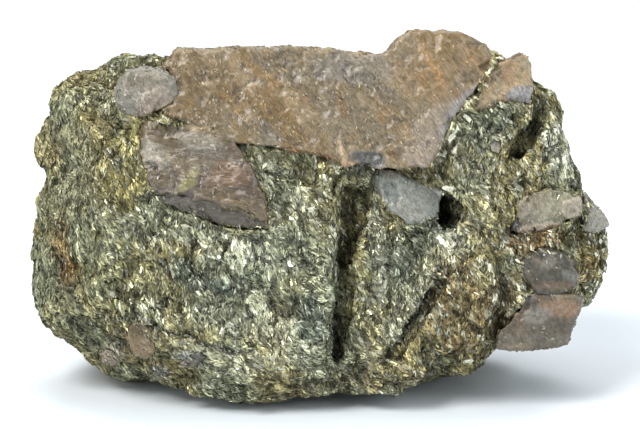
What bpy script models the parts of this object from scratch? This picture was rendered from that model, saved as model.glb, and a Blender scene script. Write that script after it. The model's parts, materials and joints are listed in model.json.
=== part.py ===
"""Lawsonite crystals in a hand specimen of green mica schist.

The specimen is modelled in its display frame: X runs right across the display face, Y runs into
the rock and Z runs up the face. The whole is then leant back and cut off flat where it stands.
Sizes are in millimetres and are scaled to metres as each mesh is made.
"""

import math

import bmesh
import bpy
from mathutils import Matrix, Vector, noise

MM = 0.001
GAP = 0.3  # free space between a crystal and the rock around it
LEAN = 12.0  # degrees that the display face leans back from upright
BASE_HEIGHT = 1.2  # height, above the display frame's origin, at which the foot is cut flat
STAND = Vector((0.6, -5.2, -BASE_HEIGHT))  # sets the foot at height 0 and the whole's middle over the origin

# ---------------------------------------------------------------- the schist body
HEART = Vector((0.0, 0.0, 18.5))  # every ray of the body starts here
FRONT_DEPTH = 13.2
BACK_DEPTH = 17.0
BOXINESS = 4.8  # 2 is a plain pebble, more is nearer to a box
GRID = 30  # quads along each side of the starting box
UNEVENNESS = 1.2  # how far its points stray from an even grid, in quads
SCHIST_TRIANGLES = 6200

OUTLINE = [  # the specimen's edge as seen square to the display face (x, z), clockwise from the left
    (-30.2, 18.2), (-29.9, 19.4), (-29.4, 20.8), (-29.3, 23.7), (-29.8, 25.4), (-29.5, 29.0),
    (-28.7, 30.3), (-28.4, 32.0), (-27.8, 33.3), (-26.7, 34.3), (-24.2, 35.0), (-22.5, 35.6),
    (-21.5, 36.4), (-20.4, 35.8), (-16.5, 35.4), (-2.4, 35.6), (16.2, 35.3), (20.3, 34.0),
    (21.6, 32.6), (23.2, 32.6), (24.2, 31.5), (24.5, 29.6), (25.0, 27.4), (25.6, 25.1),
    (26.3, 22.6), (28.2, 19.0), (29.5, 17.7), (30.1, 16.1), (29.5, 14.8), (28.9, 12.9),
    (27.3, 11.1), (24.4, 7.3), (18.2, 5.8), (16.4, 4.2), (15.1, 3.4), (12.0, 2.4), (9.3, 1.2),
    (7.4, 0.7), (5.5, 1.2), (3.8, 1.3), (1.4, 0.9), (-2.2, 0.8), (-4.1, 0.6), (-5.6, 0.1),
    (-7.3, 0.0), (-9.7, 0.6), (-12.0, 1.3), (-14.7, 1.6), (-18.9, 2.4), (-21.6, 2.3), (-22.8, 3.1),
    (-24.2, 4.2), (-25.6, 5.4), (-27.3, 6.7), (-28.3, 7.7), (-29.3, 9.6), (-29.8, 11.1),
    (-29.9, 12.3), (-29.6, 14.2), (-30.0, 16.1),
]

BREAKS = [  # flat faces where the rock broke: which way each one faces, and its distance from the heart
    ("left_flank", (-0.86, -0.50, 0.03), 25.9),
    ("left_rear", (-0.78, 0.60, 0.16), 25.0),
    ("upper_left", (-0.42, -0.46, 0.78), 23.0),
    ("lower_left", (-0.50, -0.50, -0.71), 22.4),
    ("under_front", (0.02, -0.56, -0.83), 18.9),
    ("right_flank", (0.80, -0.60, 0.06), 26.9),
    ("upper_right", (0.55, -0.56, 0.62), 24.6),
    ("right_rear", (0.78, 0.60, -0.14), 24.2),
    ("lower_right", (0.50, -0.42, -0.76), 20.9),
    ("top_rear", (0.08, 0.66, 0.75), 19.4),
    ("back_dish", (-0.10, 0.97, 0.20), 16.4),
    ("under_rear", (0.04, 0.62, -0.78), 18.8),
]

LUMP_SIZE, LUMP_HEIGHT = 7.0, 1.0
RUBBLE_SIZE, RUBBLE_HEIGHT = 2.4, 0.7

# ---------------------------------------------------------------- steps across the display face
# a step drops the face on the right of the line from its first point (x, z) to its second: how
# deep, over what width, how fast the dropped side comes forward again per mm, and how far past its
# ends the line fades out
STEPS = {
    "left_mass_edge": ((2.4, 25.5), (0.7, 5.0), 3.6, 1.3, 0.19, 4.0),
    "lower_left_ledge": ((-20.0, 10.6), (-6.0, 6.2), 1.5, 0.9, 0.16, 3.0),
    "brown_shoulder": ((18.0, 22.4), (15.4, 4.5), 3.2, 1.4, 0.09, 2.0),
    "pit_shelf": ((18.6, 19.2), (9.0, 16.4), 1.2, 0.9, 0.25, 2.0),
}

# ---------------------------------------------------------------- moulds that lost crystals left
# outline (x, z); the floor's depth at the outline's middle; how it slopes deeper per mm right and per mm up
MOULD_START, MOULD_NARROWING = -20.0, 0.75
MOULDS = {
    "upright_mould": ([(1.7, 24.6), (1.0, 17.9), (0.2, 6.9), (0.3, 1.9), (2.1, 2.0), (2.8, 6.9),
                       (4.0, 17.9), (5.4, 22.6), (4.6, 24.4)], -7.6, (-0.85, 0.06)),
    "slanting_mould": ([(12.6, 15.0), (8.4, 9.5), (5.2, 4.4), (7.3, 3.0), (9.9, 7.7),
                        (13.0, 13.1)], -8.2, (0.75, -0.35)),
    "dark_pit": ([(11.0, 22.3), (13.3, 21.6), (14.7, 20.1), (14.2, 17.9), (12.3, 17.6),
                  (10.4, 18.6)], -4.6, (-0.5, 0.2)),
    "high_trough": ([(22.4, 32.4), (20.3, 29.2), (18.9, 27.5), (18.0, 23.8), (19.9, 24.4), (22.0, 27.0),
                     (23.0, 29.6)], -8.2, (-0.75, 0.35)),
}

# ---------------------------------------------------------------- the crystals
# outline (x, z) of the shown face; its depth at the outline's middle; how it slopes back per mm to
# the right and per mm up; the crystal's thickness; the width of its edge faces
CRYSTALS = {
    "large_crystal": ([(-14.9, 35.9), (-3.8, 36.2), (4.9, 35.5), (6.0, 35.6), (7.3, 37.1), (8.6, 38.0),
                       (10.3, 38.0), (14.5, 37.5), (16.5, 36.6), (17.8, 35.0), (15.5, 31.8), (13.5, 29.3),
                       (10.7, 24.1), (5.4, 23.9), (2.1, 24.6), (-7.3, 26.2), (-11.8, 28.0), (-17.2, 29.5),
                       (-16.2, 34.2)],
                      -13.2, (0.0, 0.13), 9.4, 0.3),
    "lower_crystal": ([(-18.3, 28.3), (-17.2, 28.9), (-11.8, 27.5), (-9.5, 27.0), (-8.2, 25.9),
                       (-6.7, 23.4), (-5.7, 20.9), (-5.3, 17.7), (-7.3, 17.5), (-10.1, 17.9),
                       (-14.2, 19.5), (-16.2, 20.4), (-17.4, 22.9), (-18.0, 25.4)],
                      -14.3, (-0.04, 0.10), 7.6, 0.3),
    "rounded_crystal": ([(-20.8, 31.6), (-20.3, 32.9), (-19.2, 33.9), (-17.7, 34.3), (-16.3, 34.1),
                         (-15.2, 33.3), (-14.9, 32.2), (-15.4, 31.0), (-16.4, 29.8), (-17.6, 29.2),
                         (-19.4, 29.2), (-20.5, 30.2)],
                        -14.2, (0.0, 0.06), 6.5, 0.9),
    "upper_right_crystal": ([(19.0, 35.4), (17.3, 32.9), (15.8, 31.0), (14.9, 29.6), (16.4, 29.8),
                             (17.8, 30.3), (18.6, 30.5), (20.9, 30.4), (21.0, 31.9), (20.4, 33.0),
                             (20.2, 34.2), (20.0, 35.1), (19.4, 35.8)],
                            -11.5, (0.14, 0.10), 7.5, 0.25),
    "centre_crystal": ([(4.8, 22.4), (6.4, 23.3), (8.1, 23.1), (11.8, 21.9), (11.4, 18.9), (8.6, 18.4),
                        (6.4, 20.1)],
                       -12.3, (0.06, 0.10), 6.5, 0.6),
    "small_grain": ([(16.5, 26.5), (17.0, 27.0), (17.6, 26.8), (17.9, 26.1), (17.4, 25.5), (16.7, 25.7)],
                    -12.3, (0.05, 0.05), 3.0, 0.2),
    "right_upper_crystal": ([(18.2, 18.9), (18.9, 20.5), (20.7, 21.7), (22.5, 22.0), (24.6, 21.8),
                             (25.5, 20.9), (25.7, 19.8), (24.3, 18.7), (22.5, 17.7), (19.7, 17.1),
                             (18.2, 17.3)],
                            -10.5, (0.14, -0.05), 6.5, 0.4),
    "right_tip_crystal": ([(25.9, 22.2), (27.0, 20.9), (28.2, 19.6), (29.1, 18.4), (28.3, 18.0),
                           (26.9, 17.5), (25.9, 17.6), (26.6, 19.6)],
                          -7.3, (0.35, 0.1), 6.4, 0.25),
    "right_middle_crystal": ([(19.8, 14.7), (20.7, 15.9), (22.5, 16.3), (23.9, 16.0), (25.1, 15.1),
                              (25.7, 13.7), (25.3, 12.2), (23.3, 11.9), (21.5, 12.1), (20.3, 13.0)],
                             -9.9, (0.14, 0.05), 6.5, 0.4),
    "right_lower_crystal": ([(26.3, 11.1), (25.3, 8.1), (24.6, 6.3), (21.5, 5.8), (17.5, 5.8), (18.3, 7.6),
                             (19.7, 10.7), (21.1, 11.2)],
                            -9.6, (0.10, -0.05), 9.0, 0.3),
    "lower_left_crystal": ([(-19.8, 7.7), (-19.1, 8.7), (-17.8, 8.5), (-16.8, 7.3), (-16.6, 5.9),
                            (-17.6, 4.9), (-19.2, 5.3)],
                           -10.3, (-0.2, -0.75), 4.5, 0.3),
    "corner_crystal": ([(-22.9, 5.2), (-22.1, 5.8), (-21.3, 5.5), (-20.6, 4.8), (-21.3, 4.1), (-22.4, 4.3)],
                       -4.6, (-0.8, -1.2), 4.5, 0.25),
    "foot_crystal": ([(-14.4, 4.6), (-13.0, 5.7), (-12.2, 5.9), (-11.8, 5.1), (-12.4, 4.2), (-13.8, 4.0)],
                     -11.3, (0.0, -1.1), 4.0, 0.25),
}

# faces cut across a crystal: a point of the cut (x, y, z) and the way that it faces
CRYSTAL_FACES = {
    "large_crystal": [
        ((-5.0, -9.5, 37.0), (0.0, 0.50, 0.87)), ((-16.4, -10.0, 33.0), (-0.80, 0.45, 0.40)),
        ((12.4, -13.1, 31.0), (0.22, -0.97, 0.05)), ((16.6, -9.6, 35.6), (0.62, 0.55, 0.55)),
    ],
    "lower_crystal": [
        ((-12.0, -14.5, 21.0), (-0.10, -0.93, -0.36)), ((-17.4, -13.8, 25.0), (-0.72, -0.69, 0.0)),
    ],
    "rounded_crystal": [
        ((-20.0, -13.9, 32.0), (-0.62, -0.78, 0.05)), ((-17.8, -13.9, 33.5), (0.1, -0.72, 0.69)),
        ((-16.3, -14.0, 31.0), (0.60, -0.74, -0.30)), ((-19.2, -13.9, 30.3), (-0.3, -0.75, -0.6)),
    ],
    "upper_right_crystal": [
        ((19.2, -11.4, 31.2), (0.31, -0.77, -0.56)), ((19.4, -7.4, 35.2), (0.3, 0.60, 0.74)),
    ],
    "centre_crystal": [
        ((6.8, -12.2, 21.6), (-0.62, -0.76, 0.15)), ((10.4, -12.4, 19.6), (0.3, -0.80, -0.52)),
    ],
    "right_upper_crystal": [
        ((19.2, -10.1, 18.5), (-0.74, -0.66, -0.1)), ((22.0, -9.9, 18.8), (0.1, -0.76, -0.64)),
    ],
    "right_lower_crystal": [
        ((22.0, -9.8, 6.6), (0.03, -0.72, -0.69)),
    ],
}

# pockets are cut from the schist one group after another, and those in one group stay clear of
# each other
POCKET_GROUPS = {
    "side_pockets": ("rounded_crystal", "right_tip_crystal", "right_lower_crystal"),
    "small_pockets": ("lower_crystal", "upper_right_crystal", "centre_crystal", "small_grain",
                      "right_upper_crystal", "right_middle_crystal", "lower_left_crystal",
                      "corner_crystal", "foot_crystal"),
    "large_pocket": ("large_crystal",),
}

COLOURS = {  # base colour, roughness
    "schist": ((0.30, 0.32, 0.22), 0.55),
    "tan_crystal": ((0.42, 0.32, 0.22), 0.42),
    "grey_crystal": ((0.42, 0.42, 0.45), 0.38),
    "brown_crystal": ((0.25, 0.19, 0.16), 0.40),
}
FINISHES = {
    "large_crystal": "tan_crystal",
    "upper_right_crystal": "tan_crystal",
    "lower_left_crystal": "tan_crystal",
    "lower_crystal": "brown_crystal",
}


def material(name):
    """A finish, made once."""
    found = bpy.data.materials.get(name)
    if found:
        return found
    colour, roughness = COLOURS[name]
    made = bpy.data.materials.new(name)
    made.use_nodes = True
    shader = made.node_tree.nodes["Principled BSDF"]
    shader.inputs["Base Color"].default_value = (*colour, 1.0)
    shader.inputs["Roughness"].default_value = roughness
    shader.inputs["Metallic"].default_value = 0.0
    return made


def add_object(name, mesh_builder, finish=None, parent=None):
    """An object from a bmesh in millimetres. Without a finish it is a cutter, not a piece."""
    mesh_builder.transform(Matrix.Scale(MM, 4))
    bmesh.ops.recalc_face_normals(mesh_builder, faces=mesh_builder.faces)
    mesh = bpy.data.meshes.new(name)
    mesh_builder.to_mesh(mesh)
    mesh_builder.free()
    made = bpy.data.objects.new(name, mesh)
    bpy.context.scene.collection.objects.link(made)
    made.parent = parent
    if finish:
        mesh.materials.append(material(finish))
    else:
        made.hide_render = True
        made.display_type = "WIRE"
    return made


def add_boolean(target, cutter):
    """Cuts the cutter from the target."""
    cut = target.modifiers.new(cutter.name, "BOOLEAN")
    cut.operation = "DIFFERENCE"
    cut.solver = "EXACT"
    cut.object = cutter


def smooth_step(low, high, value):
    """0 below low, 1 above high, with a smooth rise between."""
    share = min(max((value - low) / (high - low), 0.0), 1.0)
    return share * share * (3.0 - 2.0 * share)


def outline_reach(angle):
    """How far the outline lies from the heart in this direction across the display face."""
    along = Vector((math.cos(angle), math.sin(angle)))
    heart = Vector((HEART.x, HEART.z))
    for start, end in zip(OUTLINE, OUTLINE[1:] + OUTLINE[:1]):
        a, b = Vector(start) - heart, Vector(end) - heart
        edge = b - a
        crossing = along.cross(edge)
        if abs(crossing) < 1e-9:
            continue
        distance = a.cross(edge) / crossing
        share = a.cross(along) / crossing
        if distance > 0.0 and -1e-6 <= share <= 1.0 + 1e-6:
            return distance
    raise ValueError("the outline doesn't go all round the heart")


def body_distance(direction):
    """Distance from the heart to the unweathered surface along a unit direction."""
    across = math.hypot(direction.x, direction.z)
    depth = FRONT_DEPTH if direction.y < 0.0 else BACK_DEPTH
    reach = outline_reach(math.atan2(direction.z, direction.x))
    distance = ((across / reach) ** BOXINESS + (abs(direction.y) / depth) ** BOXINESS) ** (-1.0 / BOXINESS)
    for _, facing, face_distance in BREAKS:
        towards = direction.dot(Vector(facing).normalized())
        if towards > 0.0:
            distance = min(distance, face_distance / towards)
    return distance


def face_relief(x, z):
    """How far the display face lies back at this place, for all its steps."""
    total = 0.0
    for start, end, depth, width, rise, fade in STEPS.values():
        a, b = Vector(start), Vector(end)
        along = (b - a).normalized()
        off = Vector((x, z)) - a
        travelled = off.dot(along)
        past = off.x * along.y - off.y * along.x  # how far on the dropped side
        if along.y < 0.0:
            past = -past
        inside = smooth_step(-fade, 0.0, travelled) * smooth_step(-fade, 0.0, (b - a).length - travelled)
        total += inside * max(depth * smooth_step(0.0, width, past) - rise * max(past, 0.0), 0.0)
    return total


def roughness(place):
    """Height of the broken surface's lumps and rubble at a point."""
    lumps = noise.fractal(place / LUMP_SIZE, 1.0, 2.0, 3)
    rubble = noise.turbulence(place / RUBBLE_SIZE, 3, False) - 0.5
    return LUMP_HEIGHT * lumps + RUBBLE_HEIGHT * rubble


def stray(place):
    """A sideways shift that is different at each point."""
    offsets = ((0.3, 7.1, 2.9), (13.7, 0.6, 5.2), (4.4, 9.5, 17.3))
    return Vector(noise.noise(place + Vector(offset)) for offset in offsets)


def schist_body():
    """The lump of schist: a box's points, pushed out along rays to the body's surface and roughened."""
    body = bmesh.new()
    bmesh.ops.create_cube(body, size=2.0)
    bmesh.ops.subdivide_edges(body, edges=body.edges, cuts=GRID - 1, use_grid_fill=True)
    half_sizes = Vector((30.0, 15.0, 19.0))
    for vertex in body.verts:
        spread = Vector(math.tan(c * math.pi / 4.0) for c in vertex.co)
        spread += stray(vertex.co * GRID) * UNEVENNESS / GRID
        direction = (spread * half_sizes).normalized()
        place = HEART + direction * body_distance(direction)
        place += direction * roughness(place)
        on_front = smooth_step(-1.0, 9.0, -place.y)
        place.y += face_relief(place.x, place.z) * on_front
        vertex.co = place
    return body


def prism(outline, near_plane, far_plane, narrowing=1.0):
    """A closed prism along Y from an outline (x, z). Each plane is its depth at the outline's middle,
    and how much deeper it lies per mm right and per mm up. The far end is narrowed by a share."""
    middle = Vector((sum(p[0] for p in outline), sum(p[1] for p in outline))) / len(outline)
    made = bmesh.new()
    rings = []
    for (depth, per_right, per_up), share in ((near_plane, 1.0), (far_plane, narrowing)):
        ring = []
        for x, z in outline:
            off = (Vector((x, z)) - middle) * share
            y = depth + per_right * off.x + per_up * off.y
            ring.append(made.verts.new((middle.x + off.x, y, middle.y + off.y)))
        rings.append(ring)
    near, far = rings
    made.faces.new(near)
    made.faces.new(reversed(far))
    for i in range(len(outline)):
        j = (i + 1) % len(outline)
        made.faces.new((near[i], far[i], far[j], near[j]))
    bmesh.ops.recalc_face_normals(made, faces=made.faces)
    return made


def cut_face(solid, point, facing):
    """Cuts a flat face across a solid and closes it."""
    everything = [*solid.verts, *solid.edges, *solid.faces]
    cut = bmesh.ops.bisect_plane(solid, geom=everything, plane_co=point, plane_no=facing, clear_outer=True)
    rim = [e for e in cut["geom_cut"] if isinstance(e, bmesh.types.BMEdge)]
    bmesh.ops.edgeloop_fill(solid, edges=rim)


def crystal_body(name):
    """One crystal: its prism, the faces cut across it, and narrow faces along its shown edges."""
    outline, front, slope, thickness, edge_width = CRYSTALS[name]
    body = prism(outline, (front, *slope), (front + thickness, 0.0, 0.0), 0.86)
    for point, facing in CRYSTAL_FACES.get(name, []):
        cut_face(body, point, facing)
    body.normal_update()
    shown = [e for e in body.edges
             if len(e.link_faces) == 2 and any(f.normal.y < -0.4 for f in e.link_faces)
             and e.calc_face_angle() > math.radians(25.0)]
    bmesh.ops.bevel(body, geom=shown, offset=edge_width, segments=1, affect="EDGES", clamp_overlap=True)
    bmesh.ops.recalc_face_normals(body, faces=body.faces)
    return body


def grown(body, distance):
    """A copy of a solid with every face moved out by the distance, to cut the pocket that it sits in."""
    copy = body.copy()
    copy.normal_update()
    places = [v.co + v.normal * distance * v.calc_shell_factor() for v in copy.verts]
    for vertex, place in zip(copy.verts, places):
        vertex.co = place
    return copy


def combined(solids):
    """Several solids that stay clear of each other, as one mesh."""
    whole = bmesh.new()
    for solid in solids:
        held = bpy.data.meshes.new("held")
        solid.to_mesh(held)
        solid.free()
        whole.from_mesh(held)
        bpy.data.meshes.remove(held)
    return whole


def build():
    """The whole specimen."""
    for old in list(bpy.data.objects):
        bpy.data.objects.remove(old, do_unlink=True)

    display_frame = bpy.data.objects.new("display_frame", None)
    bpy.context.scene.collection.objects.link(display_frame)
    display_frame.rotation_euler = (math.radians(-LEAN), 0.0, 0.0)
    display_frame.location = STAND * MM

    schist = add_object("schist", schist_body(), "schist", display_frame)
    thin_out = schist.modifiers.new("thin_out", "DECIMATE")
    thin_out.ratio = SCHIST_TRIANGLES / (12 * GRID * GRID)

    moulds = [prism(outline, (MOULD_START, 0.0, 0.0), (floor_depth, *slope), MOULD_NARROWING)
              for outline, floor_depth, slope in MOULDS.values()]
    add_boolean(schist, add_object("moulds", combined(moulds), None, display_frame))

    crystals, pockets = {}, {}
    for name in CRYSTALS:
        body = crystal_body(name)
        pockets[name] = grown(body, GAP)
        crystals[name] = add_object(name, body, FINISHES.get(name, "grey_crystal"), display_frame)
    for group, names in POCKET_GROUPS.items():
        cutter = add_object(group, combined([pockets[name] for name in names]), None, display_frame)
        add_boolean(schist, cutter)
        if "large_crystal" not in names:
            add_boolean(crystals["large_crystal"], cutter)

    ground_block = bmesh.new()
    bmesh.ops.create_cube(ground_block, size=100.0)
    bmesh.ops.translate(ground_block, verts=ground_block.verts, vec=(0.0, 0.0, -50.0))
    ground = add_object("ground_block", ground_block)
    add_boolean(schist, ground)


build()
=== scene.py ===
# %% [markdown]
# # Lawsonite crystals in green mica schist
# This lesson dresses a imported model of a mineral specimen: a lump of mica schist with blocky
# lawsonite crystals grown in it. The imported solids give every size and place. Nothing here moves
# them; each one is replaced by a finer mesh of the same form, and the glitter of the rock is made
# of many small mica flakes. It could all be done with bump textures on the solids, but broken rock
# is seen by its edges and its glints, and those come from real facets that turn to the light.

# %% Load the frame
import math

import bmesh
import bpy
import numpy as np
from mathutils import Matrix, Vector
from mathutils.bvhtree import BVHTree
from mathutils.kdtree import KDTree
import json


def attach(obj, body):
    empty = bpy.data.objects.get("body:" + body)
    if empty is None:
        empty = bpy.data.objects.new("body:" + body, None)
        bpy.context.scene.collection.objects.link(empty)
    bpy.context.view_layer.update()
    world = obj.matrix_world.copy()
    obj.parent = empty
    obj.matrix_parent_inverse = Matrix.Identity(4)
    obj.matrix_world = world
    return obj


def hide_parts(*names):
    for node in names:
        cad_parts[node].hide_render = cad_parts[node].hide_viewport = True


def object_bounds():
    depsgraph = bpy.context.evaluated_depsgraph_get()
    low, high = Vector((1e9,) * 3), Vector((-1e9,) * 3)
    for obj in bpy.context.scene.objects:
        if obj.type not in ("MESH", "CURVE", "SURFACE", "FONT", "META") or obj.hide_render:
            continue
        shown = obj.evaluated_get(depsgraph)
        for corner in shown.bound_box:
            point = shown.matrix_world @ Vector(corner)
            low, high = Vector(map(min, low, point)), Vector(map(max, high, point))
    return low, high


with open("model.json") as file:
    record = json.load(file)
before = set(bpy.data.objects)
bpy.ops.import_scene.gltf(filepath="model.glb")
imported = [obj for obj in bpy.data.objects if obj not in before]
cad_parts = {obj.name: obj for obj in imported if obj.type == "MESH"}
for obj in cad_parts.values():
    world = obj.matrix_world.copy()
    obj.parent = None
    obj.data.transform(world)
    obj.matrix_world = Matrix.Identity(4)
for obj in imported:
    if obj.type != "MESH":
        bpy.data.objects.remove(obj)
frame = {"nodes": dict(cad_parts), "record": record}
CAD_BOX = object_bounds()
MM = 0.001
print("nodes:", ", ".join(sorted(frame["nodes"])))

# %% [markdown]
# ## The display frame
# The specimen leans back a little where it stands. Its features are easier to place as they are
# seen square to the display face, so the lesson works in a display frame in millimetres: X runs to
# the right, Y into the rock and Z up the face. Two short functions go between that frame and the
# world. Another way is to parent every piece to a tilted empty, but then each mesh would need its
# own conversion before it is held in the imported model's box.

# %% Display frame
LEAN = math.radians(12.0)
STAND = np.array((0.6, -5.2, -1.2))
TILT = np.array(((1.0, 0.0, 0.0),
                 (0.0, math.cos(LEAN), math.sin(LEAN)),
                 (0.0, -math.sin(LEAN), math.cos(LEAN))))


def to_world(points):
    """Display points in millimetres as world points in millimetres."""
    return points @ TILT.T + STAND


def to_display(points):
    """World points in millimetres as display points in millimetres."""
    return (points - STAND) @ TILT


print("display origin in the world, mm:", to_world(np.zeros(3)))

# %% [markdown]
# ## Camera
# The view is a long lens, level with the display face: the face leans back as far as the camera
# looks down. A long lens keeps the sides of the rock from spreading, as a short one would make them.

# %% Camera
VIEW_DISTANCE = 330.0
VIEW_CENTRE = (-0.36, 19.47)  # the place on the display plane (x, z) at the middle of the view
MM_PER_PIXEL, PICTURE_WIDTH = 0.10327, 640
SENSOR = 36.0

camera_data = bpy.data.cameras.new("specimen_camera")
camera_data.sensor_width = SENSOR
camera_data.lens = VIEW_DISTANCE * SENSOR / (PICTURE_WIDTH * MM_PER_PIXEL)
camera_data.clip_start, camera_data.clip_end = 0.01, 20.0
camera = bpy.data.objects.new("specimen_camera", camera_data)
bpy.context.scene.collection.objects.link(camera)
camera.location = Vector(to_world(np.array((VIEW_CENTRE[0], -VIEW_DISTANCE, VIEW_CENTRE[1])))) * MM
camera.rotation_euler = (math.pi / 2 - LEAN, 0.0, 0.0)
bpy.context.scene.camera = camera
print(f"camera lens {camera_data.lens:.1f} mm")

# %% [markdown]
# ## Noise
# Every roughness below starts from one smooth noise: random numbers at the corners of a grid,
# blended between them. mathutils has noise too, but it takes one point at a time, and numpy does
# a hundred thousand at once. The numbers come from a hash, so each run gives the same rock.

# %% Noise helpers
CORNERS = [np.array((i, j, k)) for i in (0, 1) for j in (0, 1) for k in (0, 1)]


def hashed(cells, seed):
    """A number from 0 to 1 for each whole-numbered cell."""
    mixed = cells[:, 0] * 73856093 ^ cells[:, 1] * 19349663 ^ cells[:, 2] * 83492791 ^ seed * 2654435
    mixed = (mixed ^ (mixed >> 13)) * 1274126177 & 0xFFFFFFFF
    mixed = (mixed ^ (mixed >> 16)) * 668265263 & 0xFFFFFFFF
    return (mixed ^ (mixed >> 15)) / 0xFFFFFFFF


def noise(points, size, seed=0):
    """Smooth noise from -1 to 1 with lumps of that size. The size is a number, or one for each axis."""
    scaled = points / size + 1000.0
    cells = np.floor(scaled).astype(np.int64)
    share = scaled - cells
    share = share * share * (3.0 - 2.0 * share)
    total = np.zeros(len(points))
    for corner in CORNERS:
        weight = np.prod(np.where(corner, share, 1.0 - share), axis=1)
        total += weight * hashed(cells + corner, seed)
    return total * 2.0 - 1.0


def fractal(points, size, octaves, seed=0):
    """Noise with finer and weaker copies of itself added."""
    total = np.zeros(len(points))
    for octave in range(octaves):
        total += noise(points, np.asarray(size) / 2.0 ** octave, seed + octave) / 2.0 ** octave
    return total


# %% Cell noise
def cell_noise(points, size, seed=0):
    """Cells of about that size. For each point: 0 on a border up to 1 inside, the height of its cell's
    flat tilted face, and three numbers from 0 to 1 that its whole cell shares."""
    scaled = points / size + 1000.0
    home = np.floor(scaled).astype(np.int64)
    nearest = np.full(len(points), 9.0)
    second, face = nearest.copy(), np.zeros(len(points))
    shared = np.zeros((len(points), 3))
    for i, j, k in np.ndindex(3, 3, 3):
        cells = home + np.array((i, j, k)) - 1
        off = scaled - cells - np.stack([hashed(cells, seed + axis) for axis in range(3)], axis=1)
        own = np.stack([hashed(cells, seed + 5 + axis) for axis in range(3)], axis=1)
        reach = np.linalg.norm(off, axis=1)
        closer = reach < nearest
        second = np.minimum(second, np.maximum(nearest, reach))
        face = np.where(closer, (off * (own * 2.0 - 1.0)).sum(axis=1), face)
        shared[closer] = own[closer]
        nearest = np.minimum(nearest, reach)
    return np.clip(second - nearest, 0.0, 1.0), face, shared


# %% Steps and directions
def smooth_step(low, high, value):
    """0 below low, 1 above high, with a smooth rise between."""
    share = np.clip((value - low) / (high - low), 0.0, 1.0)
    return share * share * (3.0 - 2.0 * share)


def unit(vectors):
    """The same directions with length 1."""
    return vectors / np.maximum(np.linalg.norm(vectors, axis=-1, keepdims=True), 1e-9)


# %% [markdown]
# ## Meshes in and out
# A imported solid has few, uneven triangles. A voxel remesh gives it an even skin of small quads
# that can take fine relief; subdividing would keep the long thin triangles, and they would show.
# The same cell has the way back: points in display millimetres become a piece in world metres,
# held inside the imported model's box, with a colour for each point that its material reads.

# %% Held in the box
BOX_LOW = np.array(CAD_BOX[0]) + 1e-6
BOX_HIGH = np.array(CAD_BOX[1]) - 1e-6
BOX_EASE = 0.8  # mm from the box's sides within which the rock is held back


def held_in_box(points):
    """Display points eased back from the sides and top of the box, so that flakes fit over them."""
    world = to_world(points)
    for axis, sign, limit in ((0, 1, BOX_LOW), (1, 1, BOX_LOW), (0, -1, BOX_HIGH), (1, -1, BOX_HIGH),
                              (2, -1, BOX_HIGH)):
        room = sign * (world[:, axis] - limit[axis] / MM) / BOX_EASE
        eased = np.where(room < 1.0, np.exp(np.minimum(room, 1.0) - 1.0), room)
        world[:, axis] = limit[axis] / MM + sign * eased * BOX_EASE
    return to_display(world)


# %% Fine surface
def fine_surface(node, voxel, easing):
    """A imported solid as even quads: its points in display millimetres and its faces."""
    shape = bmesh.new()
    shape.from_mesh(frame["nodes"][node].data)
    bmesh.ops.remove_doubles(shape, verts=shape.verts, dist=1e-6)
    shape.transform(Matrix.Scale(1.0 / MM, 4))
    held = bpy.data.meshes.new("held")
    shape.to_mesh(held)
    shape.free()
    helper = bpy.data.objects.new("held", held)
    bpy.context.scene.collection.objects.link(helper)
    even = helper.modifiers.new("even", "REMESH")
    even.mode, even.voxel_size = "VOXEL", voxel
    ease = helper.modifiers.new("ease", "SMOOTH")
    ease.factor, ease.iterations = 0.5, easing
    mesh = helper.evaluated_get(bpy.context.evaluated_depsgraph_get()).to_mesh()
    points = np.empty(len(mesh.vertices) * 3)
    mesh.vertices.foreach_get("co", points)
    faces = np.empty(len(mesh.polygons) * 4, int)
    mesh.polygons.foreach_get("vertices", faces)
    bpy.data.objects.remove(helper, do_unlink=True)
    bpy.data.meshes.remove(held)
    return to_display(points.reshape(-1, 3)), faces.reshape(-1, 4)


# %% Normals and hollows
def point_normals(points, faces):
    """The outward direction at each point."""
    a, b, c, d = (points[faces[:, i]] for i in range(4))
    outward = np.cross(c - a, d - b)
    total = np.zeros_like(points)
    for i in range(4):
        for axis in range(3):
            total[:, axis] += np.bincount(faces[:, i], outward[:, axis], len(points))
    return unit(total)


def hollowness(points, faces, rounds):
    """How far each point lies below the smoothed surface, in mm: below 0 on ridges and edges."""
    corners, smoothed = faces.ravel(), points
    uses = np.bincount(corners, minlength=len(points))
    for _ in range(rounds):
        middles = np.repeat(smoothed[faces].mean(axis=1), 4, axis=0)
        smoothed = np.stack([np.bincount(corners, middles[:, axis], len(points)) / uses
                             for axis in range(3)], axis=1)
    return ((smoothed - points) * point_normals(points, faces)).sum(axis=1)


# %% Pieces
def add_piece(name, points, corners, sizes, material, colours, smooth, slot, *replaced):
    """A piece of the specimen. corners lists every face's points in turn, sizes how many each has."""
    world = np.clip(to_world(points) * MM, BOX_LOW, BOX_HIGH)
    mesh = bpy.data.meshes.new(name)
    mesh.vertices.add(len(world))
    mesh.vertices.foreach_set("co", world.ravel())
    mesh.loops.add(len(corners))
    mesh.loops.foreach_set("vertex_index", corners)
    mesh.polygons.add(len(sizes))
    mesh.polygons.foreach_set("loop_start", np.concatenate(([0], np.cumsum(sizes)[:-1])))
    mesh.update(calc_edges=True)
    mesh.polygons.foreach_set("use_smooth", np.full(len(sizes), smooth))
    tint = mesh.attributes.new("tint", "FLOAT_COLOR", "POINT")
    tint.data.foreach_set("color", np.hstack((colours, np.ones((len(colours), 1)))).ravel())
    mesh.materials.append(material)
    piece = bpy.data.objects.new(name, mesh)
    bpy.context.scene.collection.objects.link(piece)
    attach(piece, "root")
    if replaced:
        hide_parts(*replaced)
    print(f"{name}: {int(sizes.sum() - 2 * len(sizes))} triangles")
    return piece
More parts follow.
